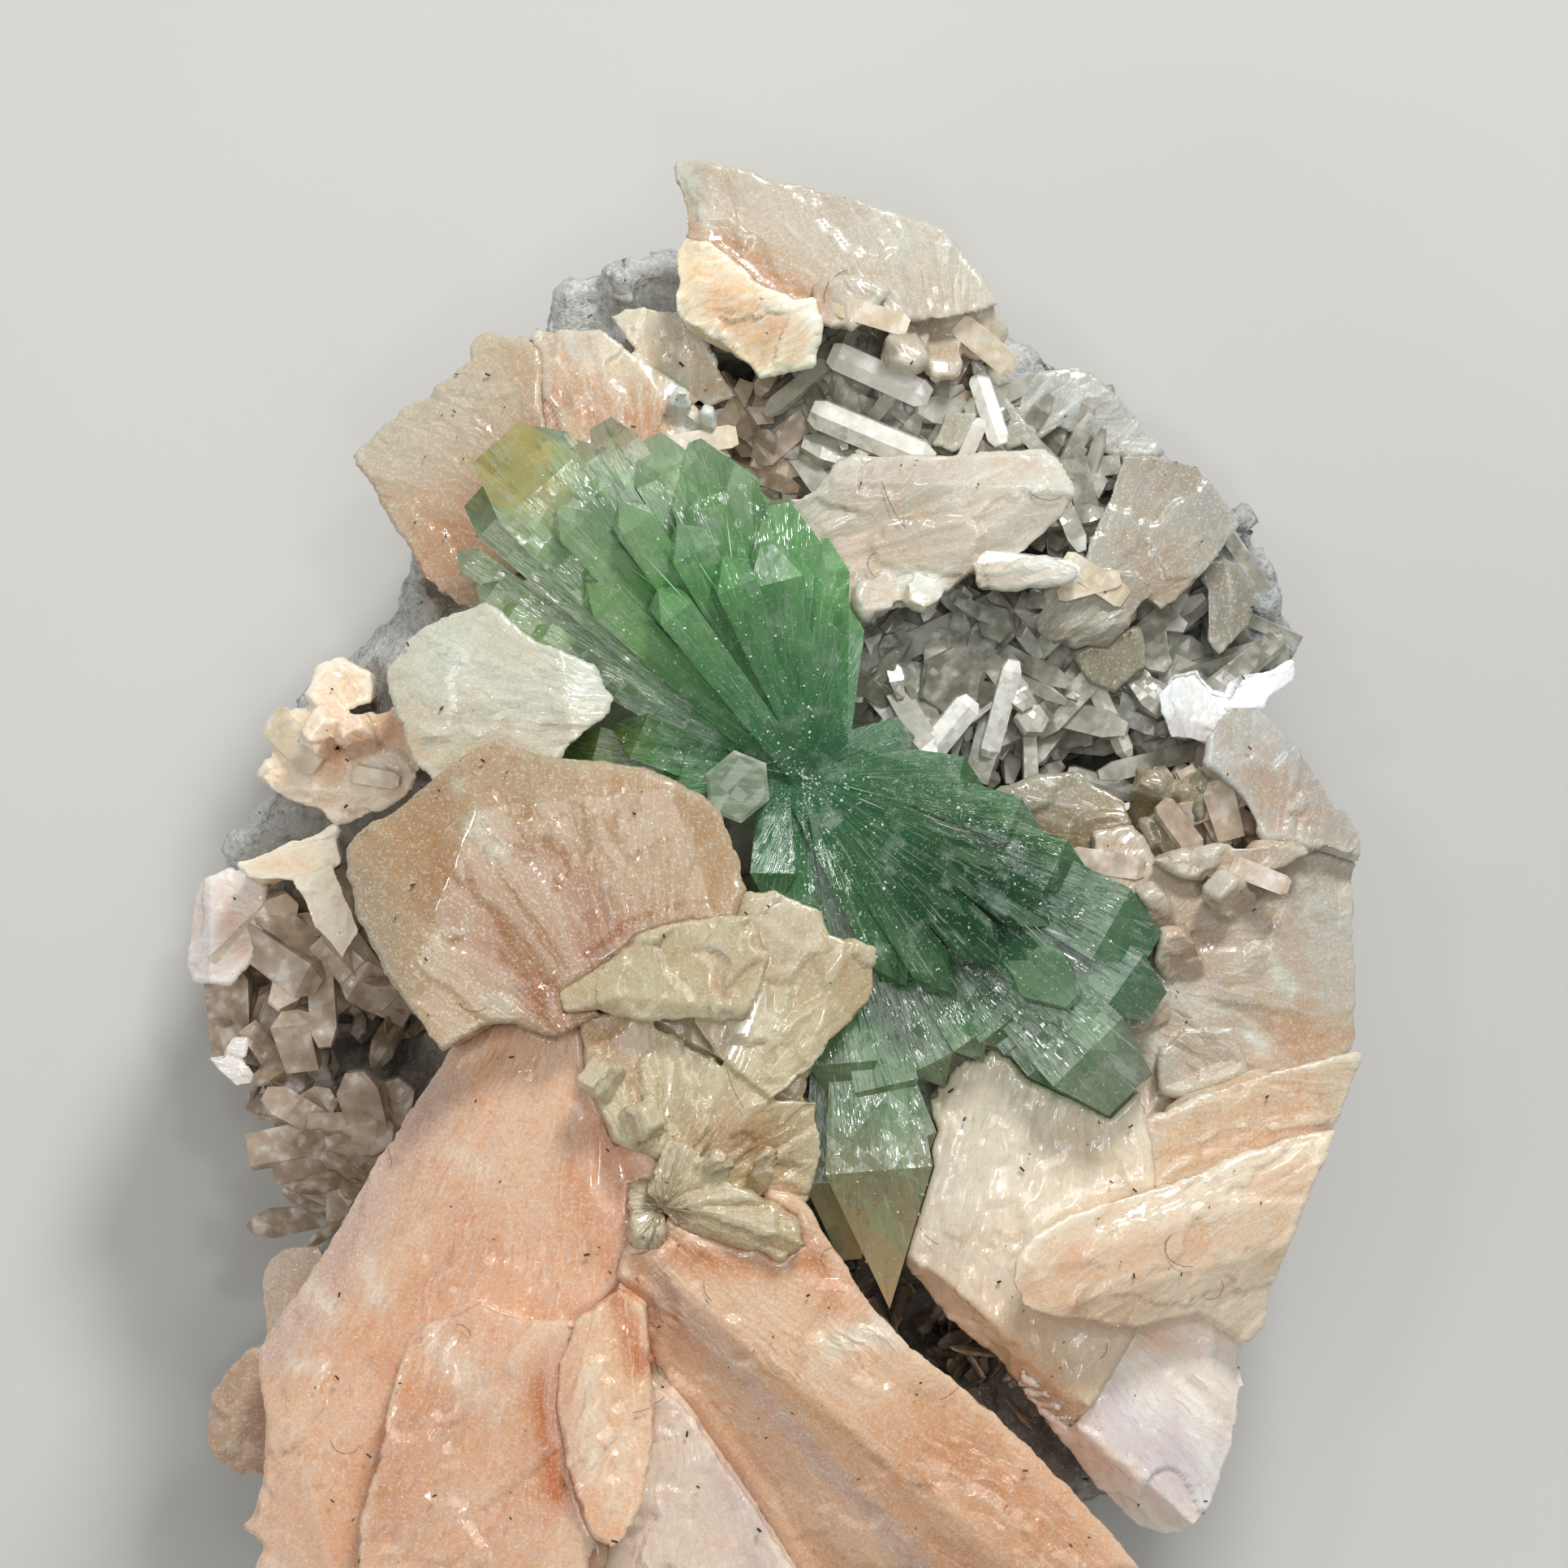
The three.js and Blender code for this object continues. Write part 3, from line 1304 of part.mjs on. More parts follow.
const rockRoom = rockBody(GAP);
FRONT.forEach(placeStilbite);
place("apophyllite_bow_tie", COLOURS.apophyllite, ROUGHNESS.apophyllite, apophylliteBowTie);
Object.keys(STILBITE)
  .filter((name) => !FRONT.includes(name))
  .forEach(placeStilbite);
const rock = rockBody();
const grown = [...chalcedonyKnobs(), ...smallCrystals()].filter(
  (small) =>
    small.intersect(rock).volume() > LEAST_ROOTED * small.volume() &&
    taken.every((other) => small.intersect(other).isEmpty()),
);
show("rock_matrix", COLOURS.rock, ROUGHNESS.rock, largest(joined([rock, ...grown])));

export default specimen;
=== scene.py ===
# %% [markdown]
# # Apophyllite with stilbite
# The real object is a hand-sized crystal group: a green bow-tie of apophyllite lies among peach and
# cream blades of stilbite, on grey rock lined with chalcedony and small zeolite crystals. The solids
# of the frame hold every crystal at its real size and place. This lesson gives them their looks:
# worn and grained crystal skins, a clear green body with needles inside, a lumpy rock, a crust of
# small crystals, and the dust that such a piece collects.

# %% Load the frame
import json
import math

import bmesh
import bpy
import numpy as np
from mathutils import Matrix, Vector
from mathutils.bvhtree import BVHTree


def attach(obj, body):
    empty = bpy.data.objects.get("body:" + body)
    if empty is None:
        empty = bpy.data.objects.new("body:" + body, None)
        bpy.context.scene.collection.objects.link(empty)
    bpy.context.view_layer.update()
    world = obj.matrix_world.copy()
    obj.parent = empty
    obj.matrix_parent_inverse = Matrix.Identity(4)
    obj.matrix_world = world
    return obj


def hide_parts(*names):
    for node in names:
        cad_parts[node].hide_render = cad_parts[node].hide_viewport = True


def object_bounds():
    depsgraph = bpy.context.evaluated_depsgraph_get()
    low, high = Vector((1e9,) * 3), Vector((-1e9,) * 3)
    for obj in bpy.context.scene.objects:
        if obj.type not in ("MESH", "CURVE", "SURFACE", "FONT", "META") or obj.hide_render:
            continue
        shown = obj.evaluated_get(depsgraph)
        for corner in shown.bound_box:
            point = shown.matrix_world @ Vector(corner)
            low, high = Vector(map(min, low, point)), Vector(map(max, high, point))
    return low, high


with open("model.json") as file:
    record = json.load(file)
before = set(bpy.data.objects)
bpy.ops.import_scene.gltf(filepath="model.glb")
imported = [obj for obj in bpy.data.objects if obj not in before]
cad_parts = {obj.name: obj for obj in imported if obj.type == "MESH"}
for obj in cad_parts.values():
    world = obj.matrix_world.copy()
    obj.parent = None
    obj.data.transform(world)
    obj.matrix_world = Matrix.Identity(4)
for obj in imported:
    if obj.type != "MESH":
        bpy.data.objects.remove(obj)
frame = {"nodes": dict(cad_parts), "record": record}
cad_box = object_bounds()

print("solids in the frame:", len(frame["nodes"]))

# %% [markdown]
# ## Places on the display face
# Each crystal was drawn on a sheet laid over the display face, in millimetres from its upper left
# corner. Patches of colour are easiest to place on the same sheet, so two small helpers turn sheet
# millimetres into the frame's metres and back. All of them are plain functions, because a value that
# is converted in one place only can't drift.

# %% Units and the sheet
MM = 0.001
SHEET_MIDDLE = np.array([47.65, 57.1])
WAIST = (49.4, 47.8)
WAIST_HEIGHT = 35.0
UP = Vector((0, 0, 1))
DOWN = Vector((0, 0, -1))


def from_sheet(x, y, height=0.0):
    """A point of the frame, in metres, from sheet millimetres and a height in millimetres."""
    return Vector(((x - SHEET_MIDDLE[0]) * MM, (SHEET_MIDDLE[1] - y) * MM, height * MM))


def to_sheet(points):
    """Sheet millimetres of an array of points in metres."""
    flat = points[:, :2] / MM
    return np.column_stack([flat[:, 0] + SHEET_MIDDLE[0], SHEET_MIDDLE[1] - flat[:, 1]])


def report(piece):
    """Prints a finished piece's name and its triangles."""
    corners = np.zeros(len(piece.data.polygons), int)
    piece.data.polygons.foreach_get("loop_total", corners)
    print(f"{piece.name}: {int((corners - 2).sum())} triangles")


print("the waist is at", tuple(round(v, 4) for v in from_sheet(*WAIST, WAIST_HEIGHT)), "m")

# %% [markdown]
# ## Noise for shaping
# Crystal faces are never perfectly flat: they have ribs, steps and low swells. A displacement
# modifier could add them, but the ribs must follow each blade's own growth direction, so the points
# are moved by array code here. That needs one smooth noise, and a pattern of cells that serves
# twice: it gives the round knobs of the rock and the flat, stepped plates of the blades.

# %% Noise helpers
HASH_PRIMES = (374761393, 668265263, 2147483647, 974634777)
HASH_MIX = 1274126177
HASH_MASK = 0xFFFFFFFF
HASH_TOP = 0xFFFF
CELL_SHIFT = 0.4  # how far a cell's own middle may lie from the middle of its place


def lattice_value(cells, seed):
    """A repeatable number from -1 to 1 for each whole-numbered cell."""
    code = cells @ np.array(HASH_PRIMES[:3]) + seed * HASH_PRIMES[3] & HASH_MASK
    code = (code ^ (code >> 13)) * HASH_MIX & HASH_MASK
    return 2 * ((code ^ (code >> 16)) & HASH_TOP) / HASH_TOP - 1


def smooth_noise(points, seed):
    """Noise from -1 to 1 that changes smoothly over about one unit."""
    cells = np.floor(points).astype(np.int64)
    part = points - cells
    ease = part * part * (3 - 2 * part)
    total = np.zeros(len(points))
    for corner in np.ndindex(2, 2, 2):
        weight = np.prod(np.where(np.array(corner) == 1, ease, 1 - ease), axis=1)
        total += weight * lattice_value(cells + corner, seed)
    return total


def layered_noise(points, seed, layers=3):
    """Smooth noise with finer and finer layers on top."""
    return sum(smooth_noise(points * 2**i, seed + i) / 2**i for i in range(layers))


def near_cells(points, seed):
    """Each cell beside or around the points, and how far the points are from its own middle."""
    cells = np.floor(points).astype(np.int64)
    for step in np.ndindex(3, 3, 3):
        cell = cells + step - 1
        shift = np.column_stack([lattice_value(cell, seed + i) for i in range(3)]) * CELL_SHIFT
        yield cell, np.linalg.norm(cell + (shift + 0.5) - points, axis=1)


def knob_height(points, seed):
    """Height of round knobs packed side by side, 1 on top of a knob and 0 between them."""
    nearest = np.minimum.reduce([far for _, far in near_cells(points, seed)])
    return np.sqrt(np.clip(1 - nearest**2, 0, 1))


def plate_level(points, seed):
    """A level from -1 to 1 that is the same all over each cell, so that cells make flat plates."""
    nearest = np.full(len(points), np.inf)
    level = np.zeros(len(points))
    for cell, far in near_cells(points, seed):
        level = np.where(far < nearest, lattice_value(cell, seed + 3), level)
        nearest = np.minimum(nearest, far)
    return level


FIRST_PLACE = np.array([[0.3, 0.2, 0.1]])
print("noise at a first place:", round(float(smooth_noise(FIRST_PLACE, 1)[0]), 3))

# %% [markdown]
# ## A skin of small faces
# A solid from the frame has few, large faces, so there is nothing in them to shape. A copy of it is
# merged, because its triangles are loose, and then remeshed into a net of equal small cells. A short
# smoothing rounds its edges as on a real crystal that has been handled. Subdividing the large faces
# would keep their long thin triangles, and those crumple when they are moved.

# %% Skin helpers
MERGE_DISTANCE = 1e-6
WEAR = 0.5  # how far one smoothing step rounds the edges, from 0 to 1
EDGE_SPREAD = 4  # how many cells an edge's mark spreads to
EDGE_GAIN = 9


def merged_copy(node):
    """A copy of a solid's mesh with its shared corners merged."""
    mesh = frame["nodes"][node].data.copy()
    mesh.materials.clear()
    work = bmesh.new()
    work.from_mesh(mesh)
    bmesh.ops.remove_doubles(work, verts=work.verts, dist=MERGE_DISTANCE)
    work.to_mesh(mesh)
    work.free()
    return mesh


def finished_mesh(mesh, add_modifiers):
    """The mesh after a few modifiers, which add_modifiers puts on a passing object."""
    passing = bpy.data.objects.new("passing", mesh)
    bpy.context.scene.collection.objects.link(passing)
    add_modifiers(passing)
    graph = bpy.context.evaluated_depsgraph_get()
    result = bpy.data.meshes.new_from_object(passing.evaluated_get(graph))
    bpy.data.objects.remove(passing)
    return result


def skin_of(node, cell, smoothing):
    """A solid's surface as a net of cells of that size in millimetres, with worn edges."""

    def add_modifiers(passing):
        net = passing.modifiers.new("Net", "REMESH")
        net.mode = "VOXEL"
        net.voxel_size = cell * MM
        fit = passing.modifiers.new("Back onto the solid", "SHRINKWRAP")
        fit.target = frame["nodes"][node]
        worn = passing.modifiers.new("Worn edges", "SMOOTH")
        worn.factor = WEAR
        worn.iterations = smoothing

    return finished_mesh(merged_copy(node), add_modifiers)


def read_points(mesh):
    """The points and their normals as arrays, the points in metres."""
    points = np.zeros(len(mesh.vertices) * 3, np.float32)
    normals = np.zeros(len(mesh.vertices) * 3, np.float32)
    mesh.vertices.foreach_get("co", points)
    mesh.vertex_normals.foreach_get("vector", normals)
    return points.reshape(-1, 3).astype(float), normals.reshape(-1, 3).astype(float)


def around(mesh, values):
    """The average of a value over each point's neighbours."""
    ends = np.zeros(len(mesh.edges) * 2, np.int32)
    mesh.edges.foreach_get("vertices", ends)
    ends = ends.reshape(-1, 2)
    count = len(mesh.vertices)
    near = np.maximum(np.bincount(ends.ravel(), minlength=count), 1)
    forth = np.bincount(ends[:, 0], values[ends[:, 1]], count)
    back = np.bincount(ends[:, 1], values[ends[:, 0]], count)
    return (forth + back) / near


def edge_share(mesh, points, normals, cell):
    """How much each point stands on an outer edge, from 0 on flat faces to 1 on sharp rims."""
    middle = np.column_stack([around(mesh, points[:, axis]) for axis in range(3)])
    stands_out = np.einsum("ij,ij->i", points - middle, normals) / (cell * MM)
    for _ in range(EDGE_SPREAD):
        stands_out = around(mesh, stands_out)
    return np.clip(stands_out * EDGE_GAIN, 0, 1)


def surface_of(*meshes):
    """The surface of some meshes together, ready to be asked for its nearest place or for a hit."""
    work = bmesh.new()
    for mesh in meshes:
        work.from_mesh(mesh)
    surface = BVHTree.FromBMesh(work)
    work.free()
    return surface


def write_points(mesh, points):
    """Moves a mesh's points to new places."""
    mesh.vertices.foreach_set("co", points.astype(np.float32).ravel())
    mesh.update()


def write_attribute(mesh, name, kind, field, values):
    """Stores a value at each point of a mesh."""
    attribute = mesh.attributes.new(name, kind, "POINT")
    attribute.data.foreach_set(field, np.asarray(values, np.float32).ravel())


def write_vectors(mesh, name, *columns):
    """Stores a vector at each point, from one column for each of its parts."""
    write_attribute(mesh, name, "FLOAT_VECTOR", "vector", np.column_stack(columns))


def write_colours(mesh, name, *columns):
    """Stores a colour at each point, from four columns."""
    write_attribute(mesh, name, "FLOAT_COLOR", "color", np.column_stack(columns))


def write_numbers(mesh, name, values):
    """Stores a number at each point."""
    write_attribute(mesh, name, "FLOAT", "value", values)


def add_piece(name, mesh, material, slot, *nodes):
    """A finished piece: its material, smooth shading and its place on the root body. The slot is not used.
    """
    mesh.materials.clear()
    mesh.materials.append(material)
    mesh.shade_smooth()
    piece = bpy.data.objects.new(name, mesh)
    bpy.context.scene.collection.objects.link(piece)
    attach(piece, "root")
    if nodes:
        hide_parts(*nodes)
    report(piece)
    return piece


print("a merged rock has", len(merged_copy("rock_matrix").vertices), "points")

# %% [markdown]
# ## Small helpers for materials
# Every finish below is a tree of shader nodes on object coordinates, so that it looks the same from
# every side. The helpers keep each tree short: one makes a node with its inputs, one mixes two
# colours, one lays several over each other, and one stretches a value. Two more start a finish, with
# its constant values set on the shader, and end it with its colour, its roughness and its relief.

# %% Material helpers
def linear(red, green, blue):
    """A colour given in the usual 0 to 255 values, as the shader wants it."""
    shares = [value / 255 for value in (red, green, blue)]
    bent = [s / 12.92 if s <= 0.04045 else ((s + 0.055) / 1.055) ** 2.4 for s in shares]
    return (*bent, 1.0)


def node_of(tree, kind, inputs=(), **settings):
    """A node with its settings, and its inputs set to values or linked to other nodes' outputs."""
    made = tree.nodes.new(kind)
    for name, value in settings.items():
        setattr(made, name, value)
    for name, value in dict(inputs).items():
        if isinstance(value, bpy.types.NodeSocket):
            tree.links.new(value, made.inputs[name])
        else:
            made.inputs[name].default_value = value
    return made


MIX_FACTOR, MIX_A, MIX_B, MIX_RESULT = 0, 6, 7, 2


def mixed(tree, factor, first, second, how="MIX"):
    """One colour laid over another by a factor."""
    mix = node_of(tree, "ShaderNodeMix", data_type="RGBA", blend_type=how)
    for index, value in ((MIX_FACTOR, factor), (MIX_A, first), (MIX_B, second)):
        if isinstance(value, bpy.types.NodeSocket):
            tree.links.new(value, mix.inputs[index])
        else:
            mix.inputs[index].default_value = value
    return mix.outputs[MIX_RESULT]


def laid_over(tree, colour, layers):
    """A colour with others laid over it in turn, from rows of a factor and a colour."""
    for factor, tone in layers:
        colour = mixed(tree, factor, colour, tone)
    return colour


def stretch(tree, value, low, high, to_low=0.0, to_high=1.0):
    """A value brought from one range into another and held inside it."""
    ranges = {"Value": value, "From Min": low, "From Max": high, "To Min": to_low, "To Max": to_high}
    return node_of(tree, "ShaderNodeMapRange", ranges).outputs[0]


def math_of(tree, how, first, second=0.0):
    """The result of one sum of two numbers."""
    return node_of(tree, "ShaderNodeMath", {0: first, 1: second}, operation=how).outputs[0]


def vector_of(tree, how, first, second=(0.0, 0.0, 0.0)):
    """The result of one sum of two vectors, which is a number for a length or a product."""
    made = node_of(tree, "ShaderNodeVectorMath", {0: first, 1: second}, operation=how)
    return made.outputs["Value"] if how in ("DOT_PRODUCT", "LENGTH", "DISTANCE") else made.outputs[0]


def millimetres(tree):
    """Object coordinates in millimetres."""
    place = node_of(tree, "ShaderNodeTexCoord").outputs["Object"]
    return vector_of(tree, "MULTIPLY", place, (1 / MM, 1 / MM, 1 / MM))


def stored(tree, name):
    """The outputs of a value that is stored at each point of a mesh."""
    return node_of(tree, "ShaderNodeAttribute", attribute_name=name).outputs


def parts_of(tree, colour):
    """The red, green and blue part of a colour."""
    return node_of(tree, "ShaderNodeSeparateColor", {"Color": colour}).outputs


def fan_of(tree, turn, away, height, sizes):
    """A place on the fan's grain: its angle, distance and height, each by its own factor."""
    sized = {
        axis: math_of(tree, "MULTIPLY", part, size)
        for axis, part, size in zip("XYZ", (turn, away, height), sizes)
    }
    return node_of(tree, "ShaderNodeCombineXYZ", sized).outputs[0]


def noise_of(tree, vector, scale, detail=2.0, roughness=0.5):
    """Cloudy noise, with as many finer layers as the detail says."""
    inputs = {"Vector": vector, "Scale": scale, "Detail": detail, "Roughness": roughness}
    return node_of(tree, "ShaderNodeTexNoise", inputs).outputs[0]


def start_finish(name, **constants):
    """A new material with its tree, and its shader with the constant values set on it."""
    material = bpy.data.materials.new(name)
    material.use_nodes = True
    shader = material.node_tree.nodes["Principled BSDF"]
    for socket, value in constants.items():
        shader.inputs[socket.replace("_", " ")].default_value = value
    return material, material.node_tree, shader


def end_finish(tree, shader, colour, roughness, height=None, strength=0.3):
    """Links a finish's colour, its roughness and, where it has one, the height of its fine relief."""
    tree.links.new(colour, shader.inputs["Base Color"])
    tree.links.new(roughness, shader.inputs["Roughness"])
    if height is not None:
        inputs = {"Strength": strength, "Distance": MM, "Height": height}
        bump = node_of(tree, "ShaderNodeBump", inputs)
        tree.links.new(bump.outputs["Normal"], shader.inputs["Normal"])


print("middle grey is", round(linear(128, 128, 128)[0], 3), "in the shader's values")

# %% [markdown]
# ## Stilbite's finish
# Stilbite is a translucent, waxy mineral with a pearly gleam on its broad faces. Light that sinks
# into it could be traced with subsurface scattering, but that makes a render slow and changes little
# on blades this thick. So the depth is painted, and the gleam is a thin coat. The colour is mixed
# from four: a pale and a main tone in clouds, a deep orange where iron gathers and as painted shade
# where blades meet, and a cool silver, laid in strokes as a painted reflection of the sky and in
# random clouds. A painted white sheen lies on the pearly faces and a painted highlight on the rims.
# Fibres and the gleam's small flakes follow the grain that is stored in each blade, and small painted
# white dots stand for glints where the gleam is strong. The tint of each blade paints it lighter or
# darker as light and shade fall on it. One function serves four sorts.

# %% Stilbite finishes
PEARL_WHITE = linear(248, 246, 240)
PAINTED_GLINT_WHITE = linear(254, 254, 254)
FLAKE_TURN = (0.6, 0.5, 0.8)  # keeps the cells of the flakes out of line with the blades
MOTTLE_SCALE = 1.5  # patterns in a millimetre
SUGAR_SCALE = 5.5
GLINT_DOT_SCALE = 2.8
GLEAM_SCALE = 2.2
FIBRE_STRETCH = (2.6, 0.16, 0.4)
GLEAM_STRETCH = (1.0, 0.2, 0.6)
FIBRE_HEIGHT = 0.06


def flakes_of(tree, place, scale):
    """Small facets in cells: the height of each cell's own slope, and the cell's numbers."""
    half = (0.5, 0.5, 0.5)
    scaled = vector_of(tree, "MULTIPLY", place, (scale, scale, scale))
    inputs = {"Vector": scaled, "Rotation": FLAKE_TURN}
    turned = node_of(tree, "ShaderNodeVectorRotate", inputs, rotation_type="EULER_XYZ").outputs[0]
    cell = vector_of(tree, "FLOOR", turned)
    inside = vector_of(tree, "SUBTRACT", vector_of(tree, "SUBTRACT", turned, cell), half)
    chance = node_of(tree, "ShaderNodeTexWhiteNoise", {"Vector": cell}, noise_dimensions="3D")
    chance = chance.outputs["Color"]
    slope = vector_of(tree, "DOT_PRODUCT", inside, vector_of(tree, "SUBTRACT", chance, half))
    return math_of(tree, "MULTIPLY", slope, 1 / scale), parts_of(tree, chance)


def stilbite_finish(name, pale, main, deep, cool, roughness, coat):
    """The waxy, pearly finish of one sort of stilbite."""
    material, tree, shader = start_finish(name, Coat_Weight=coat, Coat_Roughness=0.08, IOR=1.5)
    pale, main, deep, cool = linear(*pale), linear(*main), linear(*deep), linear(*cool)
    place = millimetres(tree)
    grain = stored(tree, "grain")["Vector"]
    tint, tones, layers = stored(tree, "tint"), stored(tree, "tones"), stored(tree, "layers")
    warm, silver, pearl = parts_of(tree, tones["Color"])
    gleam, plate, _ = node_of(tree, "ShaderNodeSeparateXYZ", {"Vector": layers["Vector"]}).outputs

    mottle = noise_of(tree, place, MOTTLE_SCALE, 2.0, 0.7)
    sugar = noise_of(tree, place, SUGAR_SCALE, 1.0, 0.7)
    fibres = noise_of(tree, vector_of(tree, "MULTIPLY", grain, FIBRE_STRETCH), 1.0, 2.0, 0.7)
    slope, number = flakes_of(tree, vector_of(tree, "MULTIPLY", grain, GLEAM_STRETCH), GLEAM_SCALE)
    grains = node_of(tree, "ShaderNodeTexVoronoi", {"Vector": place, "Scale": GLINT_DOT_SCALE}).outputs

    # painted sheen: white on the pearly faces, streaked along the fibres
    painted_sheen = math_of(tree, "MULTIPLY", pearl, stretch(tree, fibres, 0.3, 0.6, 0.5, 1.0))
    colour = laid_over(tree, mixed(tree, tint["Alpha"], main, pale), (
        (math_of(tree, "MULTIPLY", warm, 1.2), deep),  # iron, and painted shade where blades meet
        # painted reflection: cool silver where a face is turned to the sky
        (silver, cool),
        (painted_sheen, PEARL_WHITE),
        (stretch(tree, plate, 0.4, 1.0, 0.0, 0.3), pale),  # plates that stand high
        (stretch(tree, plate, -0.4, -1.0, 0.0, 0.18), deep),  # and low
        (stretch(tree, fibres, 0.57, 0.68, 0.0, 0.2), PEARL_WHITE),
        (stretch(tree, fibres, 0.4, 0.28, 0.0, 0.1), deep),
        (stretch(tree, mottle, 0.5, 0.72, 0.0, 0.3), deep),
        (stretch(tree, mottle, 0.48, 0.3, 0.0, 0.36), cool),
        (math_of(tree, "MULTIPLY", tones["Alpha"], 0.3), PEARL_WHITE),  # painted highlight on the rims
    ))
    # the tint paints each blade lighter or darker: painted light and shade
    colour = mixed(tree, 1.0, colour, tint["Color"], "MULTIPLY")
    # painted glints: small white dots, more of them where the gleam is strong
    near = stretch(tree, grains["Distance"], 0.19, 0.08)
    share = stretch(tree, gleam, 0.0, 1.0, 0.005, 0.11)
    few = math_of(tree, "LESS_THAN", parts_of(tree, grains["Color"])[1], share)
    colour = laid_over(tree, colour, (
        (stretch(tree, sugar, 0.54, 0.7, 0.0, 0.3), PEARL_WHITE),
        (stretch(tree, sugar, 0.44, 0.28, 0.0, 0.2), deep),
        (math_of(tree, "MULTIPLY", near, math_of(tree, "MULTIPLY", few, 0.9)), PAINTED_GLINT_WHITE),
    ))

    glint = math_of(tree, "MULTIPLY", math_of(tree, "LESS_THAN", number[0], 0.4), gleam)
    gloss = stretch(tree, mottle, 0.3, 0.7, roughness + 0.08, roughness - 0.1)
    for wave, size in ((pearl, 0.12), (glint, 0.25)):
        gloss = math_of(tree, "SUBTRACT", gloss, math_of(tree, "MULTIPLY", wave, size))
    height = math_of(tree, "MULTIPLY", slope, gleam)
    height = math_of(tree, "ADD", height, math_of(tree, "MULTIPLY", fibres, FIBRE_HEIGHT))
    end_finish(tree, shader, colour, gloss, height, 0.7)
    return material


SORT_ROWS = {  # pale, main, deep and cool colours, then roughness and coat
    "peach_stilbite": ((238, 206, 180), (232, 190, 158), (202, 122, 70), (200, 182, 182), 0.34, 0.7),
    "cream_stilbite": ((230, 220, 200), (220, 202, 174), (204, 150, 104), (198, 194, 190), 0.32, 0.7),
    "pink_stilbite": ((222, 206, 194), (212, 186, 166), (208, 152, 114), (188, 182, 186), 0.34, 0.7),
    "pearly_stilbite": ((242, 234, 228), (228, 210, 200), (216, 178, 150), (204, 198, 214), 0.28, 0.8),
}
SORTS = {
    slot: stilbite_finish(slot.replace("_", " ").capitalize(), *row) for slot, row in SORT_ROWS.items()
}
print("stilbite finishes:", ", ".join(SORTS))
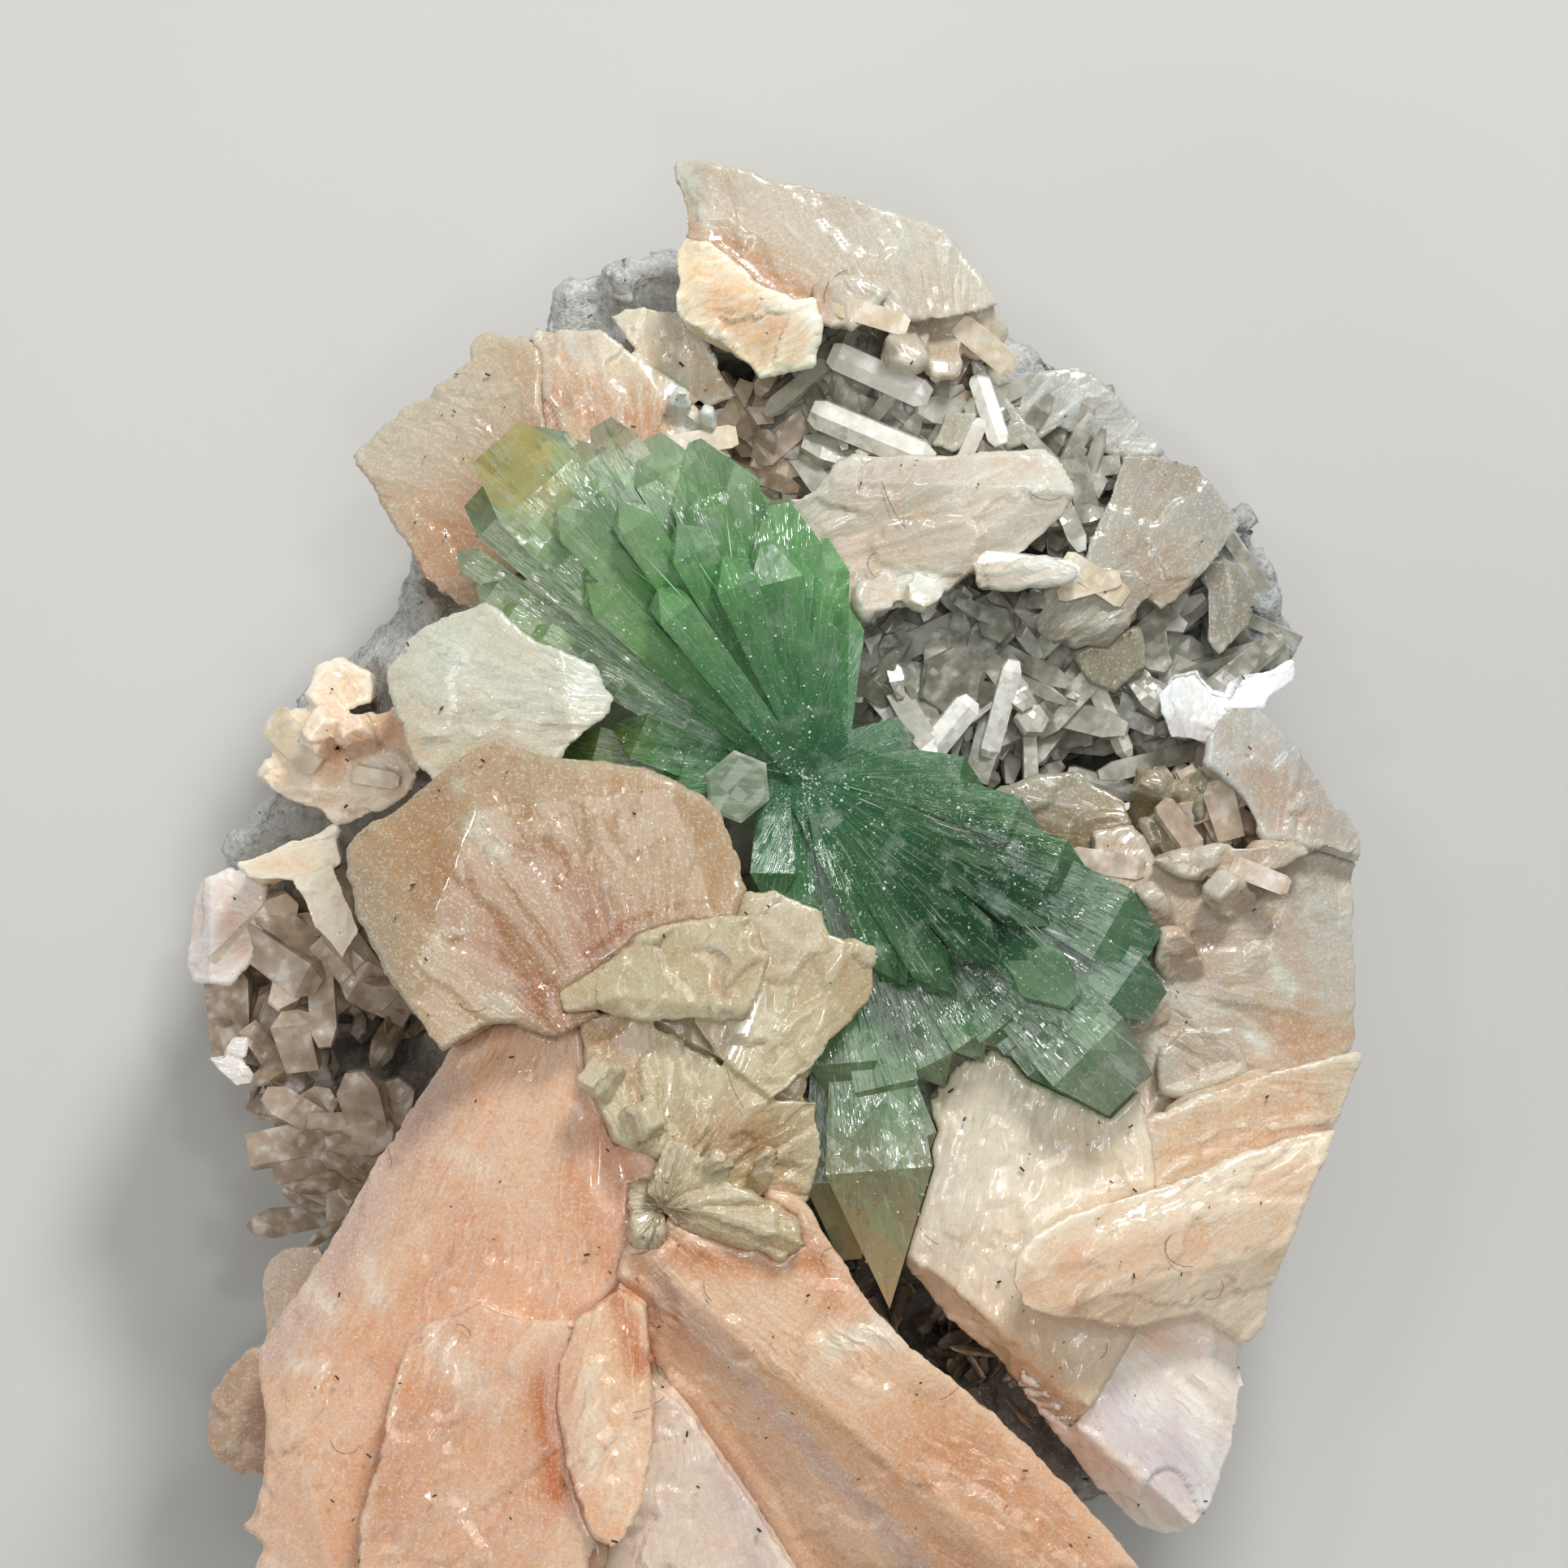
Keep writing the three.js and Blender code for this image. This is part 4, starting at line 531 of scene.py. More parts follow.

# %% [markdown]
# ## The stilbite blades
# A stilbite blade grows outwards from its root as a sheaf of thin plates that spread a little. So
# its grain is a fan: along it the surface is nearly straight, and across it there are ribs, steps
# and, at the rim, scallops. Each blade's row names the point that its fan spreads from, the size of
# its net, how high its ribs and plates are, all in millimetres, and patches of tone as short strokes:
# where from and to on the sheet, how wide, and how strong. Warm is deep orange, silver is cool and
# pearl is white; silver is a painted reflection and pearl a painted white sheen. The tint is a plain
# factor on the colour, which paints each blade lighter or darker as light and shade fall on it, and
# fine says how many times smaller the plates are than usual.

# %% Table of the blades
BLADES = {
    "stilbite_front_paddle": dict(
        fan=(41, 68), tint=(0.55, 0.57, 0.45), cell=0.26, ribs=0.02, plates=0.09,
        warm=[(32, 57.4, 37, 58.6, 3.4, 1.0), (36, 62, 34, 60.5, 3.0, 1.0),
              (36, 55, 38.4, 60, 2.2, 1.0), (28, 55, 34, 54, 3.5, 0.35)],
        silver=[(22.3, 54, 24, 60, 1.8, 0.5), (27, 47.5, 35, 47.5, 1.6, 0.35)],
        pearl=[(29.6, 50.8, 30.8, 52.6, 1.0, 0.8), (28.3, 48.3, 28.6, 48.5, 0.5, 0.6),
               (30.6, 61.4, 31.4, 61.8, 0.7, 0.8)],
    ),
    "stilbite_front_cluster": dict(
        fan=(41, 74), tint=(0.73, 0.71, 0.55), cell=0.2, ribs=0.039, plates=0.34, fine=2.0,
        warm=[(43, 69.4, 46.6, 69.8, 1.6, 0.6), (37, 63.6, 38.6, 66, 1.8, 0.7),
              (44.6, 60.6, 47, 59.6, 1.0, 0.4)],
        silver=[(47.6, 56, 50, 59, 1.8, 0.3)],
        pearl=[(36.8, 65.6, 37.8, 66.6, 0.8, 1.0), (39.2, 73.4, 40.1, 76.2, 0.7, 1.0),
               (45.6, 63.6, 47.4, 62.6, 1.0, 0.4), (42.5, 57.2, 44.6, 57.6, 0.8, 0.5)],
    ),
    "stilbite_cream_leaf": dict(
        fan=(42, 44.6), tint=(0.81, 0.92, 0.9), cell=0.22, ribs=0.066, plates=0.15,
        warm=[(25, 44, 25.6, 46.6, 0.9, 0.4)],
        pearl=[(27, 40, 32, 43, 2.2, 0.5), (33.6, 43.6, 36.6, 42.4, 0.8, 0.6)],
    ),
    "stilbite_fan_petal": dict(
        fan=(38.3, 75.5), tint=(1.05, 0.97, 0.81), cell=0.18, ribs=0.066, plates=0.2,
        warm=[(38.2, 79.4, 39.6, 83.6, 0.9, 1.0)],
        silver=[(35, 86, 36, 91, 0.9, 0.3)],
        pearl=[(36.6, 84, 36.8, 90, 0.8, 0.7), (38.4, 88, 38.2, 92.6, 0.7, 0.5)],
    ),
    "stilbite_prism_band": dict(
        fan=(24, 60), tint=(0.94, 0.88, 0.74), cell=0.3, ribs=0.02, plates=0.18,
        warm=[(58, 90, 64, 95, 4.0, 0.35), (42, 77, 47, 77.4, 1.6, 0.5), (50, 77, 52, 80, 1.4, 0.35)],
        silver=[(40.4, 78.4, 59, 99, 0.9, 0.75), (44, 84, 52, 95, 1.2, 0.35)],
        pearl=[(51.4, 82.4, 54.6, 81.4, 0.9, 1.0), (53.8, 80.8, 54.8, 82.2, 0.5, 1.0),
               (50, 84, 53, 86, 0.9, 0.3)],
    ),
    "stilbite_pearly_flute": dict(
        fan=(40, 76), tint=(0.99, 0.88, 0.75), cell=0.26, ribs=0.04, plates=0.24,
        warm=[(38.2, 86, 38.8, 92, 1.0, 0.4)],
        silver=[(46, 91, 50, 100, 2.0, 0.6)],
        pearl=[(40, 90, 43, 100, 2.4, 0.6), (48, 95, 50, 99, 0.8, 0.8)],
    ),
    "stilbite_lower_sheaf": dict(
        fan=(37, 52), tint=(0.95, 0.87, 0.76), cell=0.32, ribs=0.026, plates=0.26,
        warm=[(34.4, 85, 34.6, 91, 1.5, 0.9), (36, 70, 37.4, 76, 2.0, 0.4), (26, 86, 24, 92, 2.4, 0.4),
              (30, 76, 24, 84, 2.0, 0.3)],
        silver=[(27, 67, 17, 83, 2.0, 0.75), (25, 94, 28, 92, 1.2, 0.25)],
        pearl=[(27.4, 82.6, 29.6, 85, 1.2, 0.7), (19.4, 79.4, 20.4, 80.4, 0.7, 0.8),
               (22.6, 77.6, 23.4, 79.8, 0.7, 0.7), (18.4, 83.8, 19.6, 84.2, 0.6, 0.8),
               (28, 70.6, 30, 71.8, 0.8, 0.4), (15.6, 95.6, 17, 97, 1.2, 0.4)],
    ),
    "stilbite_leaf_over_pearly": dict(
        fan=(98, 62), tint=(1.11, 1.11, 0.95), cell=0.22, ribs=0.04, plates=0.24,
        warm=[(66, 77.6, 74, 76.4, 1.6, 0.75), (63, 79, 66, 80.4, 1.2, 0.5)],
        pearl=[(70, 74, 80, 70.6, 0.8, 0.5)],
    ),
    "stilbite_pearly_blade": dict(
        fan=(66, 52), tint=(0.96, 0.94, 0.78), cell=0.24, ribs=0.04, plates=0.18,
        warm=[(60, 80, 66, 86, 1.4, 0.45), (69.6, 69, 70.4, 78, 0.9, 0.3)],
        silver=[(59, 72, 57.4, 79, 1.4, 0.4)],
        pearl=[(61.5, 66.5, 69.6, 68.6, 2.8, 1.0), (60.4, 68, 58, 76, 1.6, 0.6),
               (65, 71.6, 66, 77, 2.0, 0.4)],
    ),
    "stilbite_lower_tip": dict(
        fan=(60, 74), tint=(1.18, 1.24, 1.2), cell=0.22, ribs=0.023, plates=0.26,
        warm=[(66, 83, 72, 82.6, 1.0, 0.6), (70, 92, 67, 89, 1.2, 0.3)],
        silver=[(66, 84, 73, 91, 2.6, 0.75)],
        pearl=[(69.6, 84.6, 71, 87, 1.6, 0.6), (73.4, 87, 74.6, 90, 1.0, 0.5)],
    ),
    "stilbite_peach_plate": dict(
        fan=(92, 66), tint=(0.89, 1.04, 1.0), cell=0.2, ribs=0.026, plates=0.2,
        warm=[(74, 70, 80, 68, 1.6, 0.4)],
    ),
    "stilbite_right_mass": dict(
        fan=(66, 60), tint=(0.78, 0.86, 0.8), cell=0.24, ribs=0.026, plates=0.34,
        warm=[(80, 63.6, 84, 65, 1.8, 0.5), (73, 56.6, 74, 59, 1.8, 0.35)],
        silver=[(81, 54, 83, 60, 1.8, 0.3)],
        pearl=[(79, 60, 79.8, 61, 0.6, 0.9), (77, 63.6, 78, 64.6, 0.6, 0.9), (72, 61, 74, 62, 1.2, 0.5),
               (70, 58, 71, 64, 1.4, 0.4)],
    ),
    "stilbite_right_horn": dict(
        fan=(78, 60), tint=(0.73, 0.87, 0.91), cell=0.2, ribs=0.033, plates=0.24,
        warm=[(78, 47.6, 80, 50, 1.4, 0.35)],
        silver=[(80, 46, 83, 50, 1.0, 0.4)],
    ),
    "stilbite_right_cream_blade": dict(
        fan=(74, 54), tint=(0.46, 0.48, 0.4), cell=0.2, ribs=0.023, plates=0.24,
        warm=[(63.6, 51.6, 66, 52.6, 1.0, 0.35)],
        silver=[(61.6, 49, 66, 48.6, 1.2, 0.4)],
        pearl=[(68.6, 53, 70, 55, 1.0, 0.5)],
    ),
    "stilbite_peach_wedge": dict(
        fan=(56, 16), tint=(1.29, 1.72, 1.72), cell=0.2, ribs=0.023, plates=0.22,
        warm=[(44, 18, 49, 21, 2.6, 0.6)],
        pearl=[(47.6, 18.8, 49.6, 19.2, 0.7, 0.4)],
    ),
    "stilbite_crown_blade": dict(
        fan=(60, 28), tint=(0.78, 0.83, 0.75), cell=0.24, ribs=0.023, plates=0.3,
        warm=[(43, 15, 49, 18.6, 2.0, 0.7)],
        silver=[(52, 12.6, 60, 16, 1.8, 0.3)],
        pearl=[(42.2, 10.2, 43.6, 13.2, 0.8, 1.0), (55.6, 13.8, 61.6, 17.6, 2.4, 0.6)],
    ),
    "stilbite_upper_middle": dict(
        fan=(42, 40), tint=(0.85, 1.06, 1.08), cell=0.2, ribs=0.04, plates=0.26,
        warm=[(34, 24, 40, 26.4, 2.4, 0.6)],
        silver=[(34, 20.6, 36, 21, 1.0, 0.3)],
        pearl=[(41.4, 23.6, 42.6, 27, 0.7, 0.9), (43.4, 25, 44.4, 27.4, 0.6, 0.6)],
    ),
    "stilbite_left_wing": dict(
        fan=(40, 34), tint=(0.77, 0.75, 0.61), cell=0.24, ribs=0.026, plates=0.26,
        warm=[(26.4, 35, 31, 31, 3.0, 0.9), (30, 26, 31, 23, 1.6, 0.3)],
        silver=[(23, 27.4, 28, 23.6, 1.8, 0.45)],
        pearl=[(29.6, 22, 31.4, 24, 0.9, 0.4), (23.4, 27.6, 29, 23.4, 2.4, 0.45)],
    ),
    "stilbite_centre_right_blade": dict(
        fan=(42, 37), tint=(0.95, 1.06, 1.02), cell=0.2, ribs=0.04, plates=0.28,
        warm=[(52, 31, 54, 34, 2.0, 0.25)],
        silver=[(50, 30, 58, 29, 1.4, 0.3)],
        pearl=[(56, 35.6, 58, 36, 0.7, 1.0), (50, 31.4, 53, 32, 0.7, 0.4), (62, 29, 64.6, 30, 0.8, 0.3)],
    ),
    "stilbite_shoulder_blade": dict(
        fan=(58, 30), tint=(0.71, 0.81, 0.84), cell=0.2, ribs=0.026, plates=0.24,
        silver=[(62, 23, 70, 26, 3.0, 0.7)],
        pearl=[(66, 24, 68, 25, 0.9, 0.4)],
    ),
    "stilbite_right_tablet": dict(
        fan=(62, 42), tint=(0.61, 0.73, 0.71), cell=0.2, ribs=0.026, plates=0.24,
        warm=[(70, 33, 72, 35, 1.6, 0.3)],
        silver=[(72, 29, 76, 32, 1.6, 0.4)],
        pearl=[(66, 38, 69, 38.6, 0.8, 0.4)],
    ),
    "stilbite_hex_crystal": dict(
        fan=(68, 52), tint=(0.43, 0.46, 0.39), cell=0.14, ribs=0.013, plates=0.06,
        silver=[(68, 40, 70, 41, 2.0, 0.4)],
    ),
    "stilbite_edge_crystal": dict(
        fan=(76, 50), tint=(0.46, 0.56, 0.52), cell=0.16, ribs=0.017, plates=0.1,
        silver=[(75, 36, 77, 38, 2.0, 0.4)],
    ),
    "pearly_crystal": dict(
        fan=(74, 50), tint=(1.14, 1.26, 1.35), cell=0.14, ribs=0.033, plates=0.4,
        pearl=[(72, 43, 79, 42, 3.0, 1.0)],
    ),
    "stilbite_left_group": dict(
        fan=(27, 50), tint=(1.12, 1.28, 1.26), cell=0.2, ribs=0.033, plates=0.34,
        warm=[(20, 47, 23, 46, 1.6, 0.5)],
        pearl=[(22, 47.6, 24, 47, 0.9, 0.6), (17.6, 46, 18.6, 47.6, 0.8, 0.4)],
    ),
    "stilbite_left_leaves": dict(
        fan=(23, 51), tint=(1.24, 1.26, 1.2), cell=0.18, ribs=0.026, plates=0.2,
        warm=[(16, 53.4, 18, 53.2, 0.9, 0.4)],
        pearl=[(18.6, 55, 20.4, 57.6, 0.9, 0.6)],
    ),
    "stilbite_far_left_blade": dict(
        fan=(18, 57), tint=(1.25, 1.34, 1.39), cell=0.18, ribs=0.026, plates=0.16,
        warm=[(13.6, 57, 14.6, 58.6, 1.0, 0.5)],
        silver=[(11.6, 56, 12, 60, 1.0, 0.5)],
    ),
    "white_rim_crystal": dict(
        fan=(18, 66), cell=0.12, ribs=0.033, plates=0.3,
        pearl=[(12, 66, 15, 66, 3.0, 1.0)],
    ),
    "stilbite_left_knob": dict(
        fan=(22, 80), tint=(0.82, 0.74, 0.7), cell=0.18, ribs=0.026, plates=0.16,
        warm=[(18, 80, 19, 81, 1.2, 0.4)],
    ),
    "stilbite_lower_left_knob": dict(
        fan=(20, 86), tint=(0.68, 0.54, 0.4), cell=0.18, ribs=0.033, plates=0.24,
        silver=[(13, 87, 15, 90, 1.2, 0.4)],
        pearl=[(13.4, 86.6, 14.6, 90, 0.8, 0.5)],
    ),
}
print("blades in the table:", len(BLADES))

# %% [markdown]
# ## Making the blades
# The loop takes each solid's skin, works out the fan grain at every point, and moves the points
# along their normals. The move is mostly inwards, because the solid's own size is the true one and
# its neighbours stand only a hair's breadth away. The same grain goes to the material as an
# attribute, so the painted fibres lie exactly on the modelled ribs.

# %% Stilbite pieces
RIB_WAVES = np.array([1.3, 0.05, 0.16])
FINE_RIB_WAVES = np.array([3.4, 0.12, 0.3])
WARP = np.array([0.45, 2.0, 0.8])  # bends the grain a little, in millimetres
PLATE_WAVES = np.array([0.34, 0.15, 0.3])
WALL_WAVES = np.array([1.2, 1.2, 0.09])
SWELL_WAVES = 0.16
WARP_WAVES = 0.5
CLOUD_WAVES = 0.16
PATCH_WAVES = 0.3
PLATE_BEND = 0.25  # bends the rims of the plates, in cells
SWELL = 0.2
WALL_RELIEF = 0.14
OUTWARD = 0.3  # closes the narrow partings between neighbouring solids, which stand in for contacts
SINK = 0.5  # keeps the low swells below the solid's own surface
WALL_SINK = 0.6
CLOSE_BY = 1.5  # neighbours nearer than this meet, in millimetres
CLOSE_FADE = 0.5
HALFWAY = 0.65
CONTACT_REACH = 2.4  # how far the warm painted shade of a contact reaches, in millimetres
# how strong the warm painted shade at a contact is
CONTACT_SHADE = 0.45
NO_DISTANCE = 1e-7


def others_than(node):
    """The surface of every solid of the frame but one."""
    return surface_of(*(thing.data for name, thing in frame["nodes"].items() if name != node))


def fan_grain(points, fan):
    """Across, along and height in millimetres, on a fan that spreads from a point of the sheet."""
    away = to_sheet(points) - np.array(fan)
    along = np.linalg.norm(away, axis=1)
    middle = away.mean(axis=0)
    turn = np.arctan2(away[:, 1], away[:, 0]) - math.atan2(middle[1], middle[0])
    turn = (turn + math.pi) % (2 * math.pi) - math.pi
    return np.column_stack([turn * along.mean(), along, points[:, 2] / MM])


def stroke_tone(points, strokes):
    """How strongly each point is covered by the strokes, from 0 to 1."""
    flat = to_sheet(points)
    most = np.zeros(len(points))
    for x0, y0, x1, y1, width, strength in strokes:
        start, run = np.array([x0, y0]), np.array([x1 - x0, y1 - y0])
        share = np.clip((flat - start) @ run / max(run @ run, NO_DISTANCE), 0, 1)
        far = np.linalg.norm(flat - start - share[:, None] * run, axis=1)
        most = np.maximum(most, strength * np.exp(-((far / width) ** 2)))
    return most


def meet_neighbours(points, normals, relief, neighbours):
    """The relief, with close neighbours meeting halfway, and how close the next one is, 0 to 1."""
    met = relief.copy()
    close = np.zeros(len(points))
    for i in range(len(points)):
        nearest, _, _, distance = neighbours.find_nearest(points[i], CONTACT_REACH * MM)
        if nearest is None or distance < NO_DISTANCE:
            continue
        close[i] = 1 - distance / MM / CONTACT_REACH
        facing = float(np.dot(np.array(nearest) - points[i], normals[i])) / distance
        share = min(1.0, max(0.0, CLOSE_BY - distance / MM) / CLOSE_FADE) * max(0.0, facing)
        met[i] += share * (distance / MM * HALFWAY - relief[i])
    return met, close


def blade_relief(points, normals, grain, plate, seed, ribs, plates):
    """How far each point moves out, in millimetres: ribs and stepped plates on a low swell."""
    rib = layered_noise(grain * RIB_WAVES, seed)
    rib += 0.5 * smooth_noise(grain * FINE_RIB_WAVES, seed + 5)
    swell = smooth_noise(grain * SWELL_WAVES, seed + 13)
    wall = layered_noise(points / MM * WALL_WAVES, seed + 15) * (1 - np.abs(normals[:, 2]))
    relief = OUTWARD + ribs * rib + 0.5 * plates * (plate - 1)
    return relief + SWELL * (swell - SINK) + WALL_RELIEF * (wall - WALL_SINK)


SLOT_OF = {row["node"]: row["material_slot"] for row in frame["record"]["subparts"]}
total_moved = 0
for seed, (node, row) in enumerate(BLADES.items(), start=21):
    mesh = skin_of(node, row["cell"], smoothing=1)
    points, normals = read_points(mesh)
    in_mm = points / MM
    grain = fan_grain(points, row["fan"])
    bend = layered_noise(in_mm * WARP_WAVES, seed + 9, 2)[:, None] * PLATE_BEND
    plate = plate_level(grain * PLATE_WAVES * row.get("fine", 1) + bend, seed)
    relief = blade_relief(points, normals, grain, plate, seed, row["ribs"], row["plates"])
    relief, close = meet_neighbours(points, normals, relief, others_than(node))
    moved = points + normals * relief[:, None] * MM
    moved[:, 2] = np.maximum(moved[:, 2], points[:, 2].min())

    warp = np.column_stack([layered_noise(in_mm * WARP_WAVES, seed + i, 2) for i in range(3)])
    clouds = np.clip(0.5 + 1.1 * layered_noise(in_mm * CLOUD_WAVES, 17, 3), 0, 1)
    patches = np.clip((layered_noise(in_mm * PATCH_WAVES, 19, 2) - 0.1) * 4, 0.1, 0.7)
    warm, silver, pearl = (stroke_tone(points, row.get(t, ())) for t in ("warm", "silver", "pearl"))
    # warm: iron strokes, and painted shade where other solids come close
    warm = np.clip(warm * (1.1 - 0.4 * clouds) + CONTACT_SHADE * close**2, 0, 1)
    # tint: painted light and shade for the whole blade
    tint = np.tile(row.get("tint", (1, 1, 1)), (len(points), 1))
    gleam = np.maximum(patches, 0.9 * pearl)
    write_vectors(mesh, "grain", *(grain + warp * WARP).T)
    write_vectors(mesh, "layers", gleam, plate, 0 * plate)
    write_colours(mesh, "tint", *tint.T, clouds)
    # tones: iron with painted contact shade, painted reflection, painted sheen, painted rim highlight
    write_colours(mesh, "tones", warm, silver, pearl, edge_share(mesh, moved, normals, row["cell"]))
    write_points(mesh, moved)
    name = node.replace("stilbite_", "") + "_skin"
    add_piece(name, mesh, SORTS[SLOT_OF[node]], SLOT_OF[node], node)
    total_moved += len(points)
print("points shaped on the blades:", total_moved)

# %% [markdown]
# ## The rock
# The rock is a dark, fine-grained stone, but most of what shows is a skin of grey to blue
# chalcedony in small round knobs, with dark brown hollows between the crystals. Knobs are packed
# cells, so they come from the cell pattern, strongest along the open rims. The tones are strokes
# again: blue where the chalcedony is clean, dark where the stone shows through it, brown in the
# hollows, and cream near the stilbite.

# %% Rock finish
def rock_finish():
    """Grey and blue-grey chalcedony with grit, darker and browner in places."""
    material, tree, shader = start_finish("Chalcedony-lined rock", Coat_Weight=0.25, Coat_Roughness=0.2)
    place = millimetres(tree)
    tones = stored(tree, "tones")
    blue, brown, cream = parts_of(tree, tones["Color"])
    clouds = noise_of(tree, place, 0.35, 4.0, 0.65)
    grit = noise_of(tree, place, 2.6, 3.0, 0.7)
    grey = mixed(tree, stretch(tree, clouds, 0.35, 0.62), linear(138, 136, 130), linear(208, 205, 196))
    clean = mixed(tree, stretch(tree, grit, 0.35, 0.65), linear(170, 178, 180), linear(222, 224, 222))
    shadowed = stretch(tree, clouds, 0.42, 0.58, 0.0, 0.9)
    brown_grit = stretch(tree, grit, 0.2, 0.6, 1.0, 0.75)
    colour = laid_over(tree, grey, (
        (blue, clean),
        (math_of(tree, "MULTIPLY", tones["Alpha"], shadowed), linear(92, 104, 110)),
        (cream, linear(224, 214, 196)),
        # dark brown in the hollows, broken up by the grit
        (math_of(tree, "MULTIPLY", brown, brown_grit), linear(74, 58, 46)),
        (stretch(tree, grit, 0.58, 0.72, 0.0, 0.6), linear(228, 228, 222)),
        (stretch(tree, grit, 0.4, 0.28, 0.0, 0.4), linear(112, 112, 108)),
    ))
    height = math_of(tree, "MULTIPLY", math_of(tree, "ADD", grit, clouds), 0.3)
    end_finish(tree, shader, colour, stretch(tree, grit, 0.3, 0.7, 0.8, 0.5), height, 0.8)
    return material


ROCK = rock_finish()
print("rock finish:", ROCK.name)

# %% Rock piece
ROCK_CELL = 0.55
KNOB_SIZE = 1.5
KNOB_HEIGHT = 0.75
BROKEN_HEIGHT = 1.1
CHIPPED_HEIGHT = 0.5
BROKEN_WAVES = 0.45
CHIPPED_WAVES = 0.42
FLAT_BACK = 0.6  # no relief lower than this, so that the cut back stays flat
BACK_FADE = 2.0
KNOB_SINK = 0.6
ROCK_SINK = 0.6
BARE_KNOBS = 0.25  # how knobbly the rock is away from its open rims
# Strokes: from and to on the sheet, how wide and how strong
KNOBBLY = [(33, 18, 41, 16, 3.0, 1.0), (63, 21, 80, 36, 2.6, 1.0), (80, 37, 79, 42, 2.4, 1.0),
           (24, 36, 18, 43, 2.6, 1.0), (15, 50, 12, 55, 2.4, 1.0), (16, 48, 17, 51, 1.6, 0.8)]
BLUE = [(33, 18, 42, 16.6, 3.0, 1.0), (64, 22, 80, 36, 3.0, 0.8), (79.6, 37, 79, 42, 2.6, 0.9),
        (24.6, 36, 19, 43, 3.0, 0.9), (15, 50, 12.6, 55, 2.4, 0.9), (64, 28, 67, 31, 2.0, 0.6)]
BROWN = [(60.6, 46.6, 66, 47.4, 1.2, 1.0), (69, 46, 73.4, 47.6, 1.2, 1.0),
         (44.6, 24.4, 47, 25.6, 1.2, 1.0), (21, 63, 26, 67, 2.4, 0.8), (20.6, 42, 22, 43.4, 1.2, 0.7),
         (53, 78.6, 72, 95, 2.6, 0.8)]
DARK = [(75, 32, 79, 41, 2.4, 1.0), (78, 38, 79.6, 42, 2.0, 1.0), (66, 27, 70, 30, 1.6, 0.5)]
CREAM = [(48, 24, 58, 28, 3.4, 0.9), (50, 38, 60, 43, 3.0, 0.35), (64, 45, 74, 43, 2.6, 0.3),
         (17, 60, 24, 72, 4.0, 0.5), (36, 34, 62, 60, 7.0, 0.8)]

rock_mesh = skin_of("rock_matrix", ROCK_CELL, smoothing=1)
points, normals = read_points(rock_mesh)
in_mm = points / MM
knobbly = stroke_tone(points, KNOBBLY)
broken = layered_noise(in_mm * BROKEN_WAVES, 71) * BROKEN_HEIGHT
broken *= 1 - 0.5 * knobbly
chips = plate_level(in_mm * CHIPPED_WAVES + broken[:, None] * 0.4, 75)
broken += 0.5 * CHIPPED_HEIGHT * chips
knobs = (knob_height(in_mm / KNOB_SIZE, 73) - KNOB_SINK) * KNOB_HEIGHT
knobs *= BARE_KNOBS + (1 - BARE_KNOBS) * knobbly
fade = np.clip((in_mm[:, 2] - FLAT_BACK) / BACK_FADE, 0, 1)
relief = (broken + knobs - ROCK_SINK) * fade
write_colours(rock_mesh, "tones", *(stroke_tone(points, s) for s in (BLUE, BROWN, CREAM, DARK)))
write_points(rock_mesh, points + normals * relief[:, None] * MM)
rock = add_piece("rock_skin", rock_mesh, ROCK, "grey_rock", "rock_matrix")

# %% [markdown]
# ## A crust of small crystals
# Hundreds of small zeolite laths have grown on the open rock. They repeat, so Geometry Nodes set
# them: points are scattered over the rock where an attribute says so, each gets one lath with its
# own tilt and size, and the instances are made real at the end. Modelling one lath and letting the
# tree scatter it keeps the shape light, and the seed keeps every run the same.

# %% One lath
def crystal_mesh(name, sections, half_width, half_depth, corners=6):
    """A crystal of unit length along Z: rings of a flattened section, closed at both ends."""
    work = bmesh.new()
    rings = []
    for height, size, flatness in sections:
        ring = []
        for i in range(corners):
            turn = 2 * math.pi * (i + 0.5) / corners
            ring.append(work.verts.new((half_width * size * math.cos(turn),
                                        half_depth * size * flatness * math.sin(turn), height)))
        rings.append(ring)
    for low, high in zip(rings, rings[1:]):
        for i in range(corners):
            j = (i + 1) % corners
            work.faces.new((low[i], low[j], high[j], high[i]))
    work.faces.new(list(reversed(rings[0])))
    work.faces.new(rings[-1])
    mesh = bpy.data.meshes.new(name)
    work.to_mesh(mesh)
    work.free()
    return mesh


LATH_SECTIONS = [(0, 0.7, 1), (0.72, 1, 1), (0.93, 0.6, 0.8), (1.0, 0.16, 0.5)]
lath = bpy.data.objects.new("lath_seed", crystal_mesh("lath", LATH_SECTIONS, 0.19, 0.085))
print("one lath has", len(lath.data.polygons), "faces")

# %% Scatter tree
RANDOM_SOCKETS = {"FLOAT": (2, 3, 1), "FLOAT_VECTOR": (0, 1, 0)}  # low and high inputs, then output
RANDOM_SEED = 8


def add_inputs(tree, sockets):
    """Named inputs and the one geometry output of a tree."""
    for name, kind in sockets.items():
        tree.interface.new_socket(name=name, in_out="INPUT", socket_type="NodeSocket" + kind)
    tree.interface.new_socket(name="Geometry", in_out="OUTPUT", socket_type="NodeSocketGeometry")
    return tree.nodes.new("NodeGroupInput").outputs, tree.nodes.new("NodeGroupOutput").inputs


def random_of(tree, kind, low, high, seed):
    """A random number or vector between two others, a new one for each point."""
    low_socket, high_socket, result = RANDOM_SOCKETS[kind]
    inputs = {low_socket: low, high_socket: high, RANDOM_SEED: seed}
    return node_of(tree, "FunctionNodeRandomValue", inputs, data_type=kind).outputs[result]


def end_tree(tree, geometry, finish, result):
    """Makes a tree's instances real, gives them their material and hands them out."""
    real = node_of(tree, "GeometryNodeRealizeInstances", {"Geometry": geometry})
    inputs = {"Geometry": real.outputs[0], "Material": finish}
    tree.links.new(node_of(tree, "GeometryNodeSetMaterial", inputs).outputs[0], result["Geometry"])
    return tree


